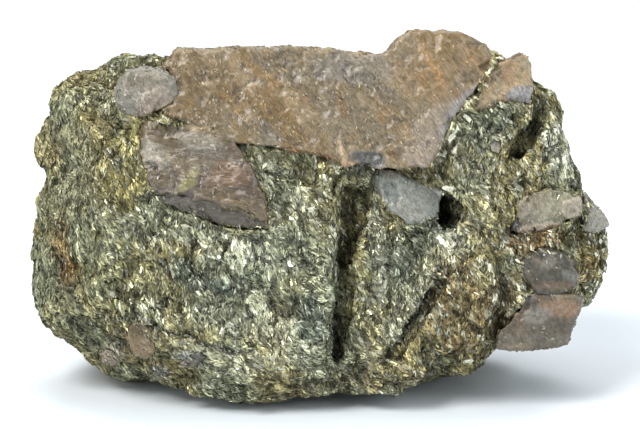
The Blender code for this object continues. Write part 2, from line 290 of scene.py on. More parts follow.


# %% [markdown]
# ## Painted zones
# The colour of such a rock changes from place to place: bottle-green nests, olive bands, rusty
# rims. Each zone here is an ellipse on the display face with a ragged soft edge, and it is worked
# out at the mesh's points. Masks built from nodes could do the same, but that would be a dozen
# nodes for each zone. The finer grain inside a zone is left to the materials.
# Some zones are painted glints, highlights and shade, not the rock's own colour.

# %% Zones
FRONT_LIMIT = -1.0  # display depth at which the zones of the display face have faded out
FRONT_FADE = 5.0  # mm before it over which they fade
RAGGED_EDGE = 0.35  # how far a zone's edge wanders, as a share of its half length
WAVER = 0.25  # mm by which a path wanders from its course


def on_front(points):
    """1 on the display face, fading to 0 behind it."""
    return smooth_step(0.0, FRONT_FADE, FRONT_LIMIT - points[:, 1])


def in_zone(points, centre, reach, turn, inner=0.6, outer=1.25):
    """1 inside an ellipse on the display face and 0 outside it, with a ragged edge."""
    turn = math.radians(turn)
    off = points[:, [0, 2]] - np.array(centre)
    along = off[:, 0] * math.cos(turn) + off[:, 1] * math.sin(turn)
    across = off[:, 1] * math.cos(turn) - off[:, 0] * math.sin(turn)
    distance = np.hypot(along / reach[0], across / reach[1]) + RAGGED_EDGE * fractal(points, 1.6, 3, 3)
    return smooth_step(outer, inner, distance) * on_front(points)


# %% Paths and painting
def near_path(points, path, width):
    """1 on a line of points on the display face, falling to 0 at that width, with a wavering course."""
    wander = np.stack((fractal(points, 1.5, 2, 5), fractal(points, 1.5, 2, 6)), axis=1)
    flat = points[:, [0, 2]] + WAVER * wander
    nearest = np.full(len(points), 99.0)
    for start, end in zip(np.array(path[:-1]), np.array(path[1:])):
        run = end - start
        share = np.clip((flat - start) @ run / (run @ run), 0.0, 1.0)[:, None]
        nearest = np.minimum(nearest, np.linalg.norm(flat - start - share * run, axis=1))
    return smooth_step(width, 0.0, nearest) * on_front(points)


def painted(points, colours, zones):
    """Blends each zone's colour over the colours so far."""
    for centre, reach, turn, colour, strength, *_ in zones.values():
        share = in_zone(points, centre, reach, turn)[:, None] * strength
        colours = colours * (1.0 - share) + np.array(colour) * share
    return colours


# %% [markdown]
# ## Shared shader groups
# Several finishes need the same effects, so each effect is a node group that is built once. The
# grain group gives a fine light and dark speckle for any colour and a height for its bump. The
# streak group stretches noise along one direction for cleavage lines and fibres. The facet group
# parts the surface into long cells and turns each cell's normal its own way, as small broken
# faces lie; a bump could not, since it only tilts a normal where the height changes. All read
# object coordinates, so they stay on the rock when it turns.

# %% Node helpers
def add_node(tree, kind, inputs=None, **settings):
    """A node with its settings. inputs gives a socket's value, or the output that feeds it."""
    made = tree.nodes.new(kind)
    for key, value in settings.items():
        setattr(made, key, value)
    for key, value in (inputs or {}).items():
        if isinstance(value, bpy.types.NodeSocket):
            tree.links.new(value, made.inputs[key])
        else:
            made.inputs[key].default_value = value
    return made


def new_group(name, inputs, outputs):
    """An empty shader group with its sockets: (tree, its input node's outputs, its output node)."""
    tree = bpy.data.node_groups.new(name, "ShaderNodeTree")
    for socket, (kind, default) in inputs.items():
        made = tree.interface.new_socket(socket, in_out="INPUT", socket_type=kind)
        made.default_value = default
    for socket, kind in outputs.items():
        tree.interface.new_socket(socket, in_out="OUTPUT", socket_type=kind)
    return tree, tree.nodes.new("NodeGroupInput").outputs, tree.nodes.new("NodeGroupOutput")


def in_millimetres(tree):
    """Object coordinates in millimetres."""
    place = add_node(tree, "ShaderNodeTexCoord").outputs["Object"]
    scaled = add_node(tree, "ShaderNodeVectorMath", {0: place, "Scale": 1.0 / MM}, operation="SCALE")
    return scaled.outputs[0]


def maths(tree, operation, first, second=0.5):
    """One Math node's output."""
    return add_node(tree, "ShaderNodeMath", {0: first, 1: second}, operation=operation).outputs[0]


# %% Grain group
def build_grain():
    """Speckles a colour, and gives the height of the grains."""
    tree, given, result = new_group(
        "grain",
        {"Color": ("NodeSocketColor", (0.5, 0.5, 0.5, 1.0)), "Grains per mm": ("NodeSocketFloat", 3.0),
         "Contrast": ("NodeSocketFloat", 0.5)},
        {"Color": "NodeSocketColor", "Height": "NodeSocketFloat"})
    place = in_millimetres(tree)
    fine = add_node(tree, "ShaderNodeTexNoise",
                    {"Vector": place, "Scale": given["Grains per mm"], "Detail": 3.0, "Roughness": 0.7})
    coarse_scale = maths(tree, "MULTIPLY", given["Grains per mm"], 0.3)
    coarse = add_node(tree, "ShaderNodeTexNoise", {"Vector": place, "Scale": coarse_scale, "Detail": 2.0})
    both = maths(tree, "ADD", fine.outputs["Fac"], coarse.outputs["Fac"])
    off_middle = maths(tree, "SUBTRACT", both, 1.0)
    light = maths(tree, "MULTIPLY_ADD", off_middle, given["Contrast"])
    light.node.inputs[2].default_value = 1.0
    graded = add_node(tree, "ShaderNodeVectorMath", {0: given["Color"], "Scale": light}, operation="SCALE")
    tree.links.new(graded.outputs[0], result.inputs["Color"])
    tree.links.new(fine.outputs["Fac"], result.inputs["Height"])
    return tree


grain = build_grain()

# %% Streak group
def build_streaks():
    """Fine lines along one direction: a mask from 0 to 1 that is also their height."""
    tree, given, result = new_group(
        "streaks",
        {"Turn": ("NodeSocketVector", (0.0, 0.0, 0.0)),
         "Stretch": ("NodeSocketVector", (3.0, 3.0, 0.3)),
         "Sharpness": ("NodeSocketFloat", 2.0)},
        {"Mask": "NodeSocketFloat"})
    turned = add_node(tree, "ShaderNodeVectorRotate",
                      {"Vector": in_millimetres(tree), "Rotation": given["Turn"]},
                      rotation_type="EULER_XYZ")
    stretched = add_node(tree, "ShaderNodeVectorMath", {0: turned.outputs[0], 1: given["Stretch"]},
                         operation="MULTIPLY")
    lines = add_node(tree, "ShaderNodeTexNoise",
                     {"Vector": stretched.outputs[0], "Scale": 1.0, "Detail": 2.0, "Distortion": 0.3})
    raised = maths(tree, "SUBTRACT", lines.outputs["Fac"], 0.5)
    sharp = maths(tree, "MULTIPLY_ADD", raised, given["Sharpness"])
    sharp.node.inputs[2].default_value = 0.5
    sharp.node.use_clamp = True
    tree.links.new(sharp, result.inputs["Mask"])
    return tree


streaks = build_streaks()

# %% Facet group
def build_facets():
    """Small flat cells, each turned its own way, so that they glint one by one."""
    tree, given, result = new_group(
        "facets",
        {"Cells per mm": ("NodeSocketVector", (5.0, 5.0, 1.6)),
         "Turn": ("NodeSocketVector", (0.0, 0.0, 0.0)),
         "Swirl": ("NodeSocketFloat", 2.0), "Tilt": ("NodeSocketFloat", 0.8)},
        {"Normal": "NodeSocketVector", "Tone": "NodeSocketFloat"})
    place = in_millimetres(tree)
    slow = add_node(tree, "ShaderNodeTexNoise", {"Vector": place, "Scale": 0.3, "Detail": 1.0})
    swirl = add_node(tree, "ShaderNodeVectorMath", {0: slow.outputs["Color"], "Scale": given["Swirl"]},
                     operation="SCALE")
    bent = add_node(tree, "ShaderNodeVectorMath", {0: place, 1: swirl.outputs[0]}, operation="ADD")
    turned = add_node(tree, "ShaderNodeVectorRotate",
                      {"Vector": bent.outputs[0], "Rotation": given["Turn"]}, rotation_type="EULER_XYZ")
    stretched = add_node(tree, "ShaderNodeVectorMath", {0: turned.outputs[0], 1: given["Cells per mm"]},
                         operation="MULTIPLY")
    cells = add_node(tree, "ShaderNodeTexVoronoi", {"Vector": stretched.outputs[0], "Scale": 1.0})
    off_middle = add_node(tree, "ShaderNodeVectorMath",
                          {0: cells.outputs["Color"], 1: (0.5, 0.5, 0.5)}, operation="SUBTRACT")
    tilted = add_node(tree, "ShaderNodeVectorMath", {0: off_middle.outputs[0], "Scale": given["Tilt"]},
                      operation="SCALE")
    surface = add_node(tree, "ShaderNodeNewGeometry").outputs["Normal"]
    turned_normal = add_node(tree, "ShaderNodeVectorMath", {0: surface, 1: tilted.outputs[0]},
                             operation="ADD")
    normal = add_node(tree, "ShaderNodeVectorMath", {0: turned_normal.outputs[0]}, operation="NORMALIZE")
    tone = add_node(tree, "ShaderNodeSeparateColor", {"Color": cells.outputs["Color"]})
    tree.links.new(normal.outputs[0], result.inputs["Normal"])
    tree.links.new(tone.outputs["Green"], result.inputs["Tone"])
    return tree


facets = build_facets()
print("groups:", grain.name, streaks.name, facets.name)


# %% [markdown]
# ## Rock finish
# Between its larger flakes the schist is a mass of small ones, bright or dark as each is turned.
# The finish takes the painted colour from the mesh and gives every cell of the facet group its
# own tone and tilt. Separate flakes for all of them would take millions of triangles.

# %% Rock material
def new_material(name):
    """An empty node material: (material, tree, its Principled shader)."""
    material = bpy.data.materials.new(name)
    material.use_nodes = True
    return material, material.node_tree, material.node_tree.nodes["Principled BSDF"]


def painted_colour(tree):
    """The colour painted on the mesh's points."""
    return add_node(tree, "ShaderNodeAttribute", attribute_name="tint").outputs["Color"]


def build_rock():
    """The sugary rock between the flakes."""
    material, tree, shader = new_material("schist_rock")
    cells = add_node(tree, "ShaderNodeGroup", node_tree=facets)
    cells.inputs["Cells per mm"].default_value = (5.5, 5.5, 1.6)
    cells.inputs["Turn"].default_value = (0.0, math.radians(25.0), 0.0)
    cells.inputs["Tilt"].default_value = 1.3
    light = maths(tree, "POWER", cells.outputs["Tone"], 2.0)
    pale = maths(tree, "MULTIPLY_ADD", light, 1.6)
    pale.node.inputs[2].default_value = 0.32
    celled = add_node(tree, "ShaderNodeVectorMath", {0: painted_colour(tree), "Scale": pale},
                      operation="SCALE")
    tree.links.new(celled.outputs[0], shader.inputs["Base Color"])
    tree.links.new(cells.outputs["Normal"], shader.inputs["Normal"])
    shader.inputs["Roughness"].default_value = 0.4
    shader.inputs["Metallic"].default_value = 0.2
    shader.inputs["Specular IOR Level"].default_value = 0.2
    return material


rock = build_rock()
print("finish:", rock.name)


# %% [markdown]
# ## Mica finish
# Mica splits into flat bright sheets. Light is thrown back from many layers at once, so it is far
# brighter than glass though not quite a mirror. A partly metallic shader with low roughness gives
# that pearly flash. Each flake's own colour, from nearly silver to almost black, is painted on its
# mesh, and the grain group speckles it and varies its gloss.

# %% Mica material
def build_mica():
    """The bright sheets of mica."""
    material, tree, shader = new_material("mica")
    speckled = add_node(tree, "ShaderNodeGroup", node_tree=grain)
    tree.links.new(painted_colour(tree), speckled.inputs["Color"])
    speckled.inputs["Grains per mm"].default_value = 5.0
    speckled.inputs["Contrast"].default_value = 1.2
    tree.links.new(speckled.outputs["Color"], shader.inputs["Base Color"])
    sheen = maths(tree, "MULTIPLY_ADD", speckled.outputs["Height"], 0.35)
    sheen.node.inputs[2].default_value = 0.12
    tree.links.new(sheen, shader.inputs["Roughness"])
    shader.inputs["Metallic"].default_value = 0.4
    shader.inputs["Specular IOR Level"].default_value = 0.2
    return material


mica = build_mica()
print("finish:", mica.name)


# %% [markdown]
# ## Lawsonite finish
# The crystals are cloudy, between glass and wax, with fine cleavage lines and a frosted skin. Light
# goes a little way in before it comes out, so the shader has some subsurface scattering, and a
# thin coat gives the wet gloss of a fresh break. Real glass would show the rock behind, which
# these crystals hide. One function makes the three finishes of the specimen, each with its own
# line direction, grain and gloss: tan and rusty, frosted grey, and brown.

# %% Lawsonite materials
def build_lawsonite(name, turn, line_strength, grains, contrast, roughness):
    """A cloudy crystal with cleavage lines and a fine grain."""
    material, tree, shader = new_material(name)
    speckled = add_node(tree, "ShaderNodeGroup", node_tree=grain)
    tree.links.new(painted_colour(tree), speckled.inputs["Color"])
    speckled.inputs["Grains per mm"].default_value = grains
    speckled.inputs["Contrast"].default_value = contrast
    lines = add_node(tree, "ShaderNodeGroup", node_tree=streaks)
    lines.inputs["Turn"].default_value = (0.0, math.radians(turn), 0.0)
    lines.inputs["Stretch"].default_value = (9.0, 9.0, 0.9)
    lines.inputs["Sharpness"].default_value = 3.0
    pale = maths(tree, "MULTIPLY_ADD", lines.outputs["Mask"], line_strength)
    pale.node.inputs[2].default_value = 1.0 - line_strength / 2.0
    lined = add_node(tree, "ShaderNodeVectorMath", {0: speckled.outputs["Color"], "Scale": pale},
                     operation="SCALE")
    tree.links.new(lined.outputs[0], shader.inputs["Base Color"])
    cells = add_node(tree, "ShaderNodeGroup", node_tree=facets)
    cells.inputs["Cells per mm"].default_value = (3.5, 3.5, 1.4)
    cells.inputs["Turn"].default_value = (0.0, math.radians(turn), 0.0)
    cells.inputs["Tilt"].default_value = 0.3
    height = maths(tree, "ADD", speckled.outputs["Height"], lines.outputs["Mask"])
    relief = add_node(tree, "ShaderNodeBump", {"Height": height, "Normal": cells.outputs["Normal"],
                                               "Strength": 0.4, "Distance": 0.05 * MM})
    tree.links.new(relief.outputs["Normal"], shader.inputs["Normal"])
    gloss = maths(tree, "MULTIPLY_ADD", speckled.outputs["Height"], 0.3)
    gloss.node.inputs[2].default_value = roughness - 0.15
    tree.links.new(gloss, shader.inputs["Roughness"])
    shader.inputs["Specular IOR Level"].default_value = 0.45
    shader.inputs["Coat Weight"].default_value = 0.25
    shader.inputs["Coat Roughness"].default_value = 0.18
    shader.inputs["Subsurface Weight"].default_value = 0.35
    shader.inputs["Subsurface Radius"].default_value = (1.0, 0.8, 0.6)
    shader.inputs["Subsurface Scale"].default_value = 0.5 * MM
    return material


tan_lawsonite = build_lawsonite("tan_lawsonite", 35.0, 0.6, 6.0, 1.0, 0.22)
grey_lawsonite = build_lawsonite("grey_lawsonite", 25.0, 0.4, 7.0, 1.2, 0.18)
brown_lawsonite = build_lawsonite("brown_lawsonite", 80.0, 0.6, 6.0, 1.1, 0.20)
print("finishes:", tan_lawsonite.name, grey_lawsonite.name, brown_lawsonite.name)

# %% [markdown]
# ## The crystals
# Each crystal is remeshed finely and then worn: a slow swell over its faces, small flat faces that
# stand at their own tilt, fine ridges along its cleavage, and chips that bite at its edges and
# leave steps as cleavage does. Some sides have grown on towards their neighbour, and some zones
# stand up as a crust or lie sunk. It could be sculpted by hand, but then each of the thirteen
# crystals would be its own work; here one function takes each crystal's own numbers.

# %% Crystal tones and zones
TAN, GREY, LILAC = (0.157, 0.105, 0.045), (0.158, 0.127, 0.080), (0.21, 0.168, 0.125)
CREAM, HAZE = (0.255, 0.195, 0.118), (0.138, 0.120, 0.096)
RUST, ORANGE = (0.17, 0.085, 0.030), (0.30, 0.165, 0.060)

BASE_TONES = {  # the two tones that lie in each crystal in slow clouds
    "large_crystal": (TAN, GREY),
    "lower_crystal": ((0.112, 0.083, 0.046), (0.080, 0.058, 0.040)),
    "rounded_crystal": ((0.172, 0.160, 0.128), (0.175, 0.142, 0.106)),
    "upper_right_crystal": ((0.215, 0.152, 0.078), (0.285, 0.24, 0.15)),
    "centre_crystal": ((0.19, 0.195, 0.168), (0.090, 0.094, 0.080)),
    "small_grain": ((0.36, 0.32, 0.26), (0.30, 0.27, 0.22)),
    "right_upper_crystal": ((0.245, 0.228, 0.155), (0.24, 0.195, 0.145)),
    "right_tip_crystal": ((0.29, 0.275, 0.23), (0.21, 0.195, 0.16)),
    "right_middle_crystal": ((0.055, 0.050, 0.035), (0.042, 0.040, 0.031)),
    "right_lower_crystal": ((0.060, 0.052, 0.035), (0.092, 0.074, 0.051)),
    "lower_left_crystal": ((0.21, 0.165, 0.105), TAN),
    "corner_crystal": (GREY, LILAC),
    "foot_crystal": ((0.15, 0.155, 0.155), GREY),
}
CRYSTAL_ZONES = {  # middle (x, z), half lengths, turn in degrees, colour, strength, lift if any
    "large_crystal": {
        "left_end": ((-12.5, 32.0), (4.0, 3.5), 0.0, (0.128, 0.088, 0.040), 0.6),
        "top_cloud": ((3.0, 33.8), (5.0, 1.7), -5.0, (0.170, 0.158, 0.138), 0.55),
        "shoulder": ((10.5, 33.6), (3.6, 3.2), 0.0, (0.222, 0.138, 0.057), 0.5),
        "lower_right_cloud": ((10.5, 27.0), (3.8, 2.2), 60.0, (0.235, 0.190, 0.145), 0.7),
        "right_rim": ((13.6, 30.4), (3.4, 0.6), 55.0, (0.19, 0.188, 0.185), 0.7),
        "shoulder_streak": ((10.6, 34.6), (3.2, 0.3), -62.0, ORANGE, 0.6),
        "shoulder_rim": ((14.4, 35.4), (1.8, 0.25), -50.0, ORANGE, 0.55),
        "middle_streak": ((1.7, 30.5), (1.6, 0.25), -75.0, RUST, 0.7),
        "upper_streak": ((-6.0, 33.5), (2.5, 0.6), -40.0, (0.22, 0.135, 0.050), 0.6),
        "left_streak": ((-9.5, 30.8), (2.2, 0.4), -48.0, (0.22, 0.135, 0.050), 0.5),
        "lower_edge": ((-3.3, 25.6), (5.6, 0.45), -8.0, RUST, 0.85, -0.2),
        "curl_left": ((1.9, 25.4), (0.35, 1.4), 12.0, (0.27, 0.20, 0.12), 0.8, 0.3),
        "curl_low": ((3.0, 24.1), (1.5, 0.3), -25.0, (0.32, 0.22, 0.13), 0.9, 0.3),
        "grey_lens": ((4.4, 25.0), (1.6, 0.75), -4.0, (0.075, 0.075, 0.072), 0.95, -0.35),
    },
    "lower_crystal": {
        "left_crust": ((-17.0, 25.6), (1.6, 2.0), 70.0, (0.235, 0.218, 0.178), 0.7, 0.2),
        "top_crust": ((-12.0, 26.6), (2.6, 0.8), -10.0, (0.25, 0.225, 0.175), 0.6, 0.2),
        "warm_patch": ((-9.6, 23.6), (2.3, 1.3), -10.0, (0.19, 0.118, 0.068), 0.6),
        "green_vein": ((-13.6, 22.5), (2.0, 0.5), 50.0, (0.21, 0.195, 0.085), 0.7, 0.12),
        "plum_notch": ((-16.9, 24.3), (0.7, 0.35), -25.0, (0.06, 0.043, 0.036), 0.8, -0.4),
        "plum_notch_low": ((-13.6, 21.3), (0.9, 0.4), -15.0, (0.06, 0.042, 0.034), 0.8, -0.5),
        # painted shade: the lower crystal's band is darker where its face turns down
        "dark_base": ((-11.0, 19.1), (6.2, 1.5), -18.0, (0.075, 0.065, 0.050), 0.9, -0.45),
    },
    "rounded_crystal": {"low_right": ((-16.8, 30.4), (2.0, 1.4), 40.0, (0.27, 0.215, 0.165), 0.6)},
    "upper_right_crystal": {
        "blue_corner": ((19.7, 31.3), (1.5, 0.9), 10.0, (0.27, 0.27, 0.28), 0.75, -0.15),
        "orange_top": ((18.6, 34.0), (1.0, 1.6), 10.0, (0.26, 0.165, 0.080), 0.6),
    },
    "centre_crystal": {"dark_facet": ((6.7, 21.6), (0.7, 1.2), 30.0, (0.10, 0.11, 0.105), 0.7, -0.2)},
    "right_upper_crystal": {
        "pink_rim": ((22.0, 18.0), (3.0, 0.6), 5.0, (0.30, 0.235, 0.175), 0.8, 0.2),
        "left_facet": ((18.8, 18.4), (0.9, 1.8), 0.0, (0.13, 0.115, 0.110), 0.8, -0.4),
        "knob": ((24.8, 20.2), (1.2, 1.0), 0.0, (0.27, 0.225, 0.175), 0.7, 0.4),
    },
    "right_lower_crystal": {
        "orange_top": ((23.8, 10.2), (2.0, 1.0), -10.0, (0.22, 0.14, 0.085), 0.8),
        "brown_pit": ((19.8, 10.2), (0.9, 0.8), 0.0, (0.07, 0.045, 0.020), 0.85, -0.3),
        "brown_pit_low": ((18.6, 8.2), (0.7, 0.9), 20.0, (0.09, 0.065, 0.035), 0.7, -0.2),
        "grey_cloud": ((21.2, 9.2), (1.6, 0.9), 20.0, (0.19, 0.175, 0.145), 0.7),
        "violet_cloud": ((19.4, 11.6), (1.3, 0.7), -30.0, (0.12, 0.115, 0.11), 0.7, 0.12),
        "rust_line": ((19.7, 8.8), (1.2, 0.2), -65.0, (0.13, 0.07, 0.025), 0.8, -0.15),
        "dark_base": ((21.0, 6.9), (4.0, 0.6), 3.0, (0.11, 0.10, 0.075), 0.8, -0.15),
    },
    "right_middle_crystal": {
        "rusty_foot": ((23.5, 12.3), (2.4, 0.6), 0.0, (0.13, 0.085, 0.050), 0.7),
        "pale_cloud": ((22.6, 14.6), (1.1, 0.8), 20.0, (0.18, 0.17, 0.14), 0.7),
        "pale_corner": ((24.6, 13.4), (1.0, 0.7), -30.0, (0.16, 0.155, 0.13), 0.7),
    },
}

# %% Crystal shapes
CRYSTALS = {  # voxel size, swell, ridge height, chip depth, direction of the cleavage lines (x, z)
    "large_crystal": (0.24, 0.14, 0.05, 0.30, (0.64, -0.77)),
    "lower_crystal": (0.20, 0.14, 0.05, 0.25, (0.95, -0.3)),
    "rounded_crystal": (0.17, 0.10, 0.03, 0.10, (0.9, 0.4)),
    "upper_right_crystal": (0.18, 0.12, 0.05, 0.20, (0.6, 0.8)),
    "centre_crystal": (0.18, 0.12, 0.04, 0.18, (0.8, -0.6)),
    "small_grain": (0.12, 0.05, 0.02, 0.08, (0.8, -0.6)),
    "right_upper_crystal": (0.18, 0.12, 0.04, 0.15, (0.7, 0.7)),
    "right_tip_crystal": (0.17, 0.08, 0.03, 0.12, (0.6, -0.8)),
    "right_middle_crystal": (0.18, 0.12, 0.04, 0.18, (0.9, -0.3)),
    "right_lower_crystal": (0.19, 0.12, 0.06, 0.18, (1.0, 0.1)),
    "lower_left_crystal": (0.16, 0.10, 0.03, 0.15, (0.5, -0.8)),
    "corner_crystal": (0.14, 0.06, 0.02, 0.10, (0.5, -0.8)),
    "foot_crystal": (0.14, 0.06, 0.02, 0.10, (0.5, -0.8)),
}
SWELL_SIZE, RIDGE_SIZE, CHIP_SIZE = 4.0, 0.45, 1.3
RIDGE_STRETCH, FACE_STRETCH = 8.0, 1.8  # how much longer along the cleavage than across it
FACE_HEIGHT, FACE_SIZE = 0.7, 14.0  # the small flat faces, as multiples of the crystal's swell
WHOLE_EDGE = 0.45  # share of an edge that no chip has bitten
RAGGEDNESS = 0.10  # how far the crystals' outlines wander in the display plane
GROWTH = {  # a side that has grown towards its neighbour: middle (x, z), half lengths, push (x, z)
    "large_crystal": (((-10.5, 27.6), (6.0, 2.2), (-0.1, -0.45)),),
    "lower_crystal": (((-11.6, 27.4), (7.0, 2.6), (0.2, 0.75)),),
    "rounded_crystal": (((-14.9, 31.2), (2.6, 2.6), (0.8, -0.3)),),
    "upper_right_crystal": (((16.9, 33.0), (4.0, 4.0), (-0.9, 0.8)),
                            ((19.9, 34.2), (2.2, 2.6), (0.7, 0.2))),
    "centre_crystal": (((6.2, 23.2), (3.6, 2.8), (-0.6, 0.9)),),
    "lower_left_crystal": (((-18.1, 8.3), (3.2, 2.6), (0.0, 1.1)),),
    "right_middle_crystal": (((22.5, 12.6), (4.5, 1.8), (0.0, -0.7)),
                             ((19.8, 14.6), (1.8, 2.4), (-0.5, 0.0))),
    "right_lower_crystal": (((22.0, 12.0), (5.5, 2.4), (0.0, 0.9)),
                            ((17.8, 7.6), (2.6, 3.0), (-0.9, 0.0))),
}


# %% Worn crystals
def worn_crystal(name, seed):
    """A crystal's fine mesh with its growth, swell, small faces, ridges and chips."""
    voxel, swell, ridge, chip, (right, up) = CRYSTALS[name]
    points, faces = fine_surface(name, voxel, 1)
    outward = point_normals(points, faces)
    for middle, reach, push in GROWTH.get(name, ()):
        off = np.linalg.norm((points[:, [0, 2]] - np.array(middle)) / np.array(reach), axis=1)
        points[:, [0, 2]] += np.array(push) * smooth_step(1.0, 0.0, off)[:, None]
    along = points[:, 0] * right + points[:, 2] * up
    across = points[:, 2] * right - points[:, 0] * up
    lined = np.stack((along / RIDGE_STRETCH, across, points[:, 1]), axis=1)
    lift = swell * fractal(points, SWELL_SIZE, 3, seed) + ridge * fractal(lined, RIDGE_SIZE, 2, seed + 7)
    bent = np.stack((along / FACE_STRETCH, across, points[:, 1]), axis=1)
    bent = bent + 0.3 * noise(points, 1.5, seed + 12)[:, None]
    lift += FACE_HEIGHT * swell * cell_noise(bent, FACE_SIZE * swell, seed + 15)[1]
    edge = np.linalg.norm(outward - unit(outward + 0.9 * np.stack(
        [noise(points, 1.1, seed + 20 + axis) for axis in range(3)], axis=1)), axis=1)
    wavering = points + 0.4 * fractal(points, 1.0, 2, seed + 30)[:, None]
    cells = np.floor(wavering / CHIP_SIZE).astype(np.int64)
    bite = np.clip(hashed(cells, seed + 40) - WHOLE_EDGE, 0.0, 1.0) / (1.0 - WHOLE_EDGE)
    lift -= chip * bite * smooth_step(0.25, 0.6, edge)
    for centre, reach, turn, _, _, *step in CRYSTAL_ZONES.get(name, {}).values():
        if step:
            lift += step[0] * in_zone(points, centre, reach, turn, 0.85, 1.05)
    ragged = np.stack((fractal(points, 0.9, 2, seed + 50), np.zeros(len(points)),
                       fractal(points, 0.9, 2, seed + 60)), axis=1)
    return points + outward * lift[:, None] + RAGGEDNESS * ragged, faces


surfaces = {}
for order, crystal in enumerate(CRYSTALS):
    surfaces[crystal] = worn_crystal(crystal, 100 * order)
print("crystal quads:", sum(len(faces) for _, faces in surfaces.values()))

# %% [markdown]
# ## Crystal colours
# Each crystal has two tones that lie in slow clouds, drawn out along its cleavage, with cream and
# hazy patches where light is caught on inner cracks. Iron has seeped along the cracks of the tan
# ones. The zones then place the stains, crusts and dark bands. A noise in the material could
# cloud the crystals too, but it couldn't know where the edges and the hollows are; here they are
# measured on the mesh, and edges get a painted highlight and hollows painted shade.

# %% Crystal colours
EDGE_LIGHT_AND_HOLLOW_SHADE = 1.5  # painted highlight on edges and painted shade in hollows: how much paler and darker, for each millimetre
CLOUD_STRETCH = 2.6  # how much longer the clouds are along the cleavage than across it
CLOUD_SIZE, PATCH_SIZE, LINE_SIZE = 2.4, 1.9, 0.55
PATCHES, FROSTED_PATCHES = 0.75, 0.5  # how strong the cream and hazy patches are
LINES, FROSTED_LINES = 0.13, 0.10  # how much the fine lines lighten and darken
VEINS = 0.22  # how strong the rusty veins are
FINISHES = {"tan_crystal": tan_lawsonite, "grey_crystal": grey_lawsonite, "brown_crystal": brown_lawsonite}
SLOTS = {row["node"]: row["material_slot"] for row in frame["record"]["subparts"]}


def crystal_colours(name, points, seed):
    """A crystal's two tones in slow clouds, rusty veins in the tan ones, its zones, then a painted
    highlight on edges and painted shade in hollows.
    """
    first, second = (np.array(tone) for tone in BASE_TONES[name])
    right, up = unit(np.array(CRYSTALS[name][4]))
    along = (points[:, 0] * right + points[:, 2] * up) / CLOUD_STRETCH
    across = points[:, 2] * right - points[:, 0] * up
    lined = np.stack((along, across, points[:, 1]), axis=1) + 0.35 * noise(points, 2.0, seed + 17)[:, None]
    cloud = smooth_step(-0.6, 0.8, fractal(lined, CLOUD_SIZE, 3, seed))[:, None]
    colours = first * (1.0 - cloud) + second * cloud
    frosted = SLOTS[name] == "grey_crystal"
    for tone, place in ((CREAM, 21), (HAZE, 25)):
        patch = smooth_step(0.1, 1.0, fractal(lined, PATCH_SIZE, 3, seed + place))[:, None]
        patch = (FROSTED_PATCHES if frosted else PATCHES) * patch
        colours = colours * (1.0 - patch) + np.array(tone) * patch
    if SLOTS[name] == "tan_crystal":
        slanted = points @ np.array(((1.0, 0.0, 0.5), (0.0, 1.0, 0.0), (-0.5, 0.0, 1.0)))
        crack = np.abs(fractal(slanted, (2.0, 3.0, 5.0), 3, seed + 11))
        vein = smooth_step(0.12, 0.0, crack)[:, None] * VEINS
        colours = colours * (1.0 - vein) + np.array(ORANGE) * 0.85 * vein
    bent = points + 0.3 * noise(points, 0.9, seed + 7)[:, None]
    colours *= 1.0 + (FROSTED_LINES if frosted else LINES) * fractal(lined, LINE_SIZE, 2, seed + 5)[:, None]
    colours *= 1.0 + 0.10 * cell_noise(bent, 1.6, seed + 9)[1][:, None]
    colours = painted(points, colours, CRYSTAL_ZONES.get(name, {}))
    # painted highlight on ridges and edges, painted shade in the hollows
    painted_edge_light_and_shade = np.exp(-EDGE_LIGHT_AND_HOLLOW_SHADE * hollowness(points, surfaces[name][1], 5)).clip(0.6, 1.7)
    return colours * painted_edge_light_and_shade[:, None]


# %% Crystal pieces
for order, (crystal, (points, faces)) in enumerate(surfaces.items()):
    add_piece(crystal + "_skin", points, faces.ravel(), np.full(len(faces), 4),
              FINISHES[SLOTS[crystal]], crystal_colours(crystal, points, 500 + 10 * order), True,
              SLOTS[crystal], crystal)

# %% [markdown]
# ## The schist
# The lump is remeshed too. Mica schist breaks into small flat faces that run with its foliation,
# so the relief is two sizes of cells, stretched that way, each with its own tilted face and dark
# clefts between. A displacement in the material would round them off, and the export would lose
# it. Single cracks and ledges follow paths of their own. A few places stand a little higher than
# the solid, and a few hollows are shallower. Where the rock meets a crystal its skin is drawn up
# to the crystal and climbs beside it, as the two grew together, so that no slit shows. Its foot
# stays flat.

# %% Relief of the schist
SCHIST_VOXEL = 0.37
SEAM_REACH = 1.3  # rock this near to a crystal is drawn to it
SEAM_CLIMB = 1.1  # and stands up beside it
FOOT_CLEARANCE = 1.2  # mm over the floor below which the relief fades out
FOLIATION = np.array((0.42, 0.10, -0.90))  # the way the mica runs, down and to the right
LARGE_FACE, SMALL_FACE = 2.9, 1.1  # mm across the broken faces
LARGE_HEIGHT, SMALL_HEIGHT = 0.85, 0.36  # how far they tilt out of the surface
LARGE_CLEFT, SMALL_CLEFT = 0.25, 0.08  # how deep the clefts between them are
# each depth also sets painted shade along its course in the rock's colour, and a depth below 0 a painted
# highlight
CREVICES = {  # course on the display face (x, z), half width, depth
    "recess_line": (((-20.4, 11.8), (-18.2, 9.4), (-16.0, 8.0), (-11.6, 6.6), (-8.3, 5.8)), 0.5, 0.7),
    "under_lower_crystal": (((-16.0, 19.7), (-13.8, 18.7), (-9.8, 17.7), (-5.7, 17.1)), 0.45, 0.4),
    "groove_wall": (((2.5, 23.7), (2.1, 17.9), (1.6, 11.0), (1.2, 4.2)), 0.4, 0.12),
    "wedge": (((11.6, 14.2), (10.1, 11.0), (8.1, 7.5), (6.4, 4.8)), 0.55, 1.1),
    "trough": (((23.0, 30.4), (21.3, 27.9), (19.7, 25.9), (18.6, 24.3)), 0.5, 0.1),
    "slot": (((9.1, 19.1), (10.8, 18.3), (12.2, 17.8)), 0.4, 0.6),
    "pit_wall": (((11.9, 21.9), (11.5, 18.2)), 0.5, 0.6),
    # the pit's lip stands up and gets a painted highlight
    "pit_lip": (((14.0, 21.2), (14.6, 19.6), (13.6, 18.0)), 0.5, -0.35),
}
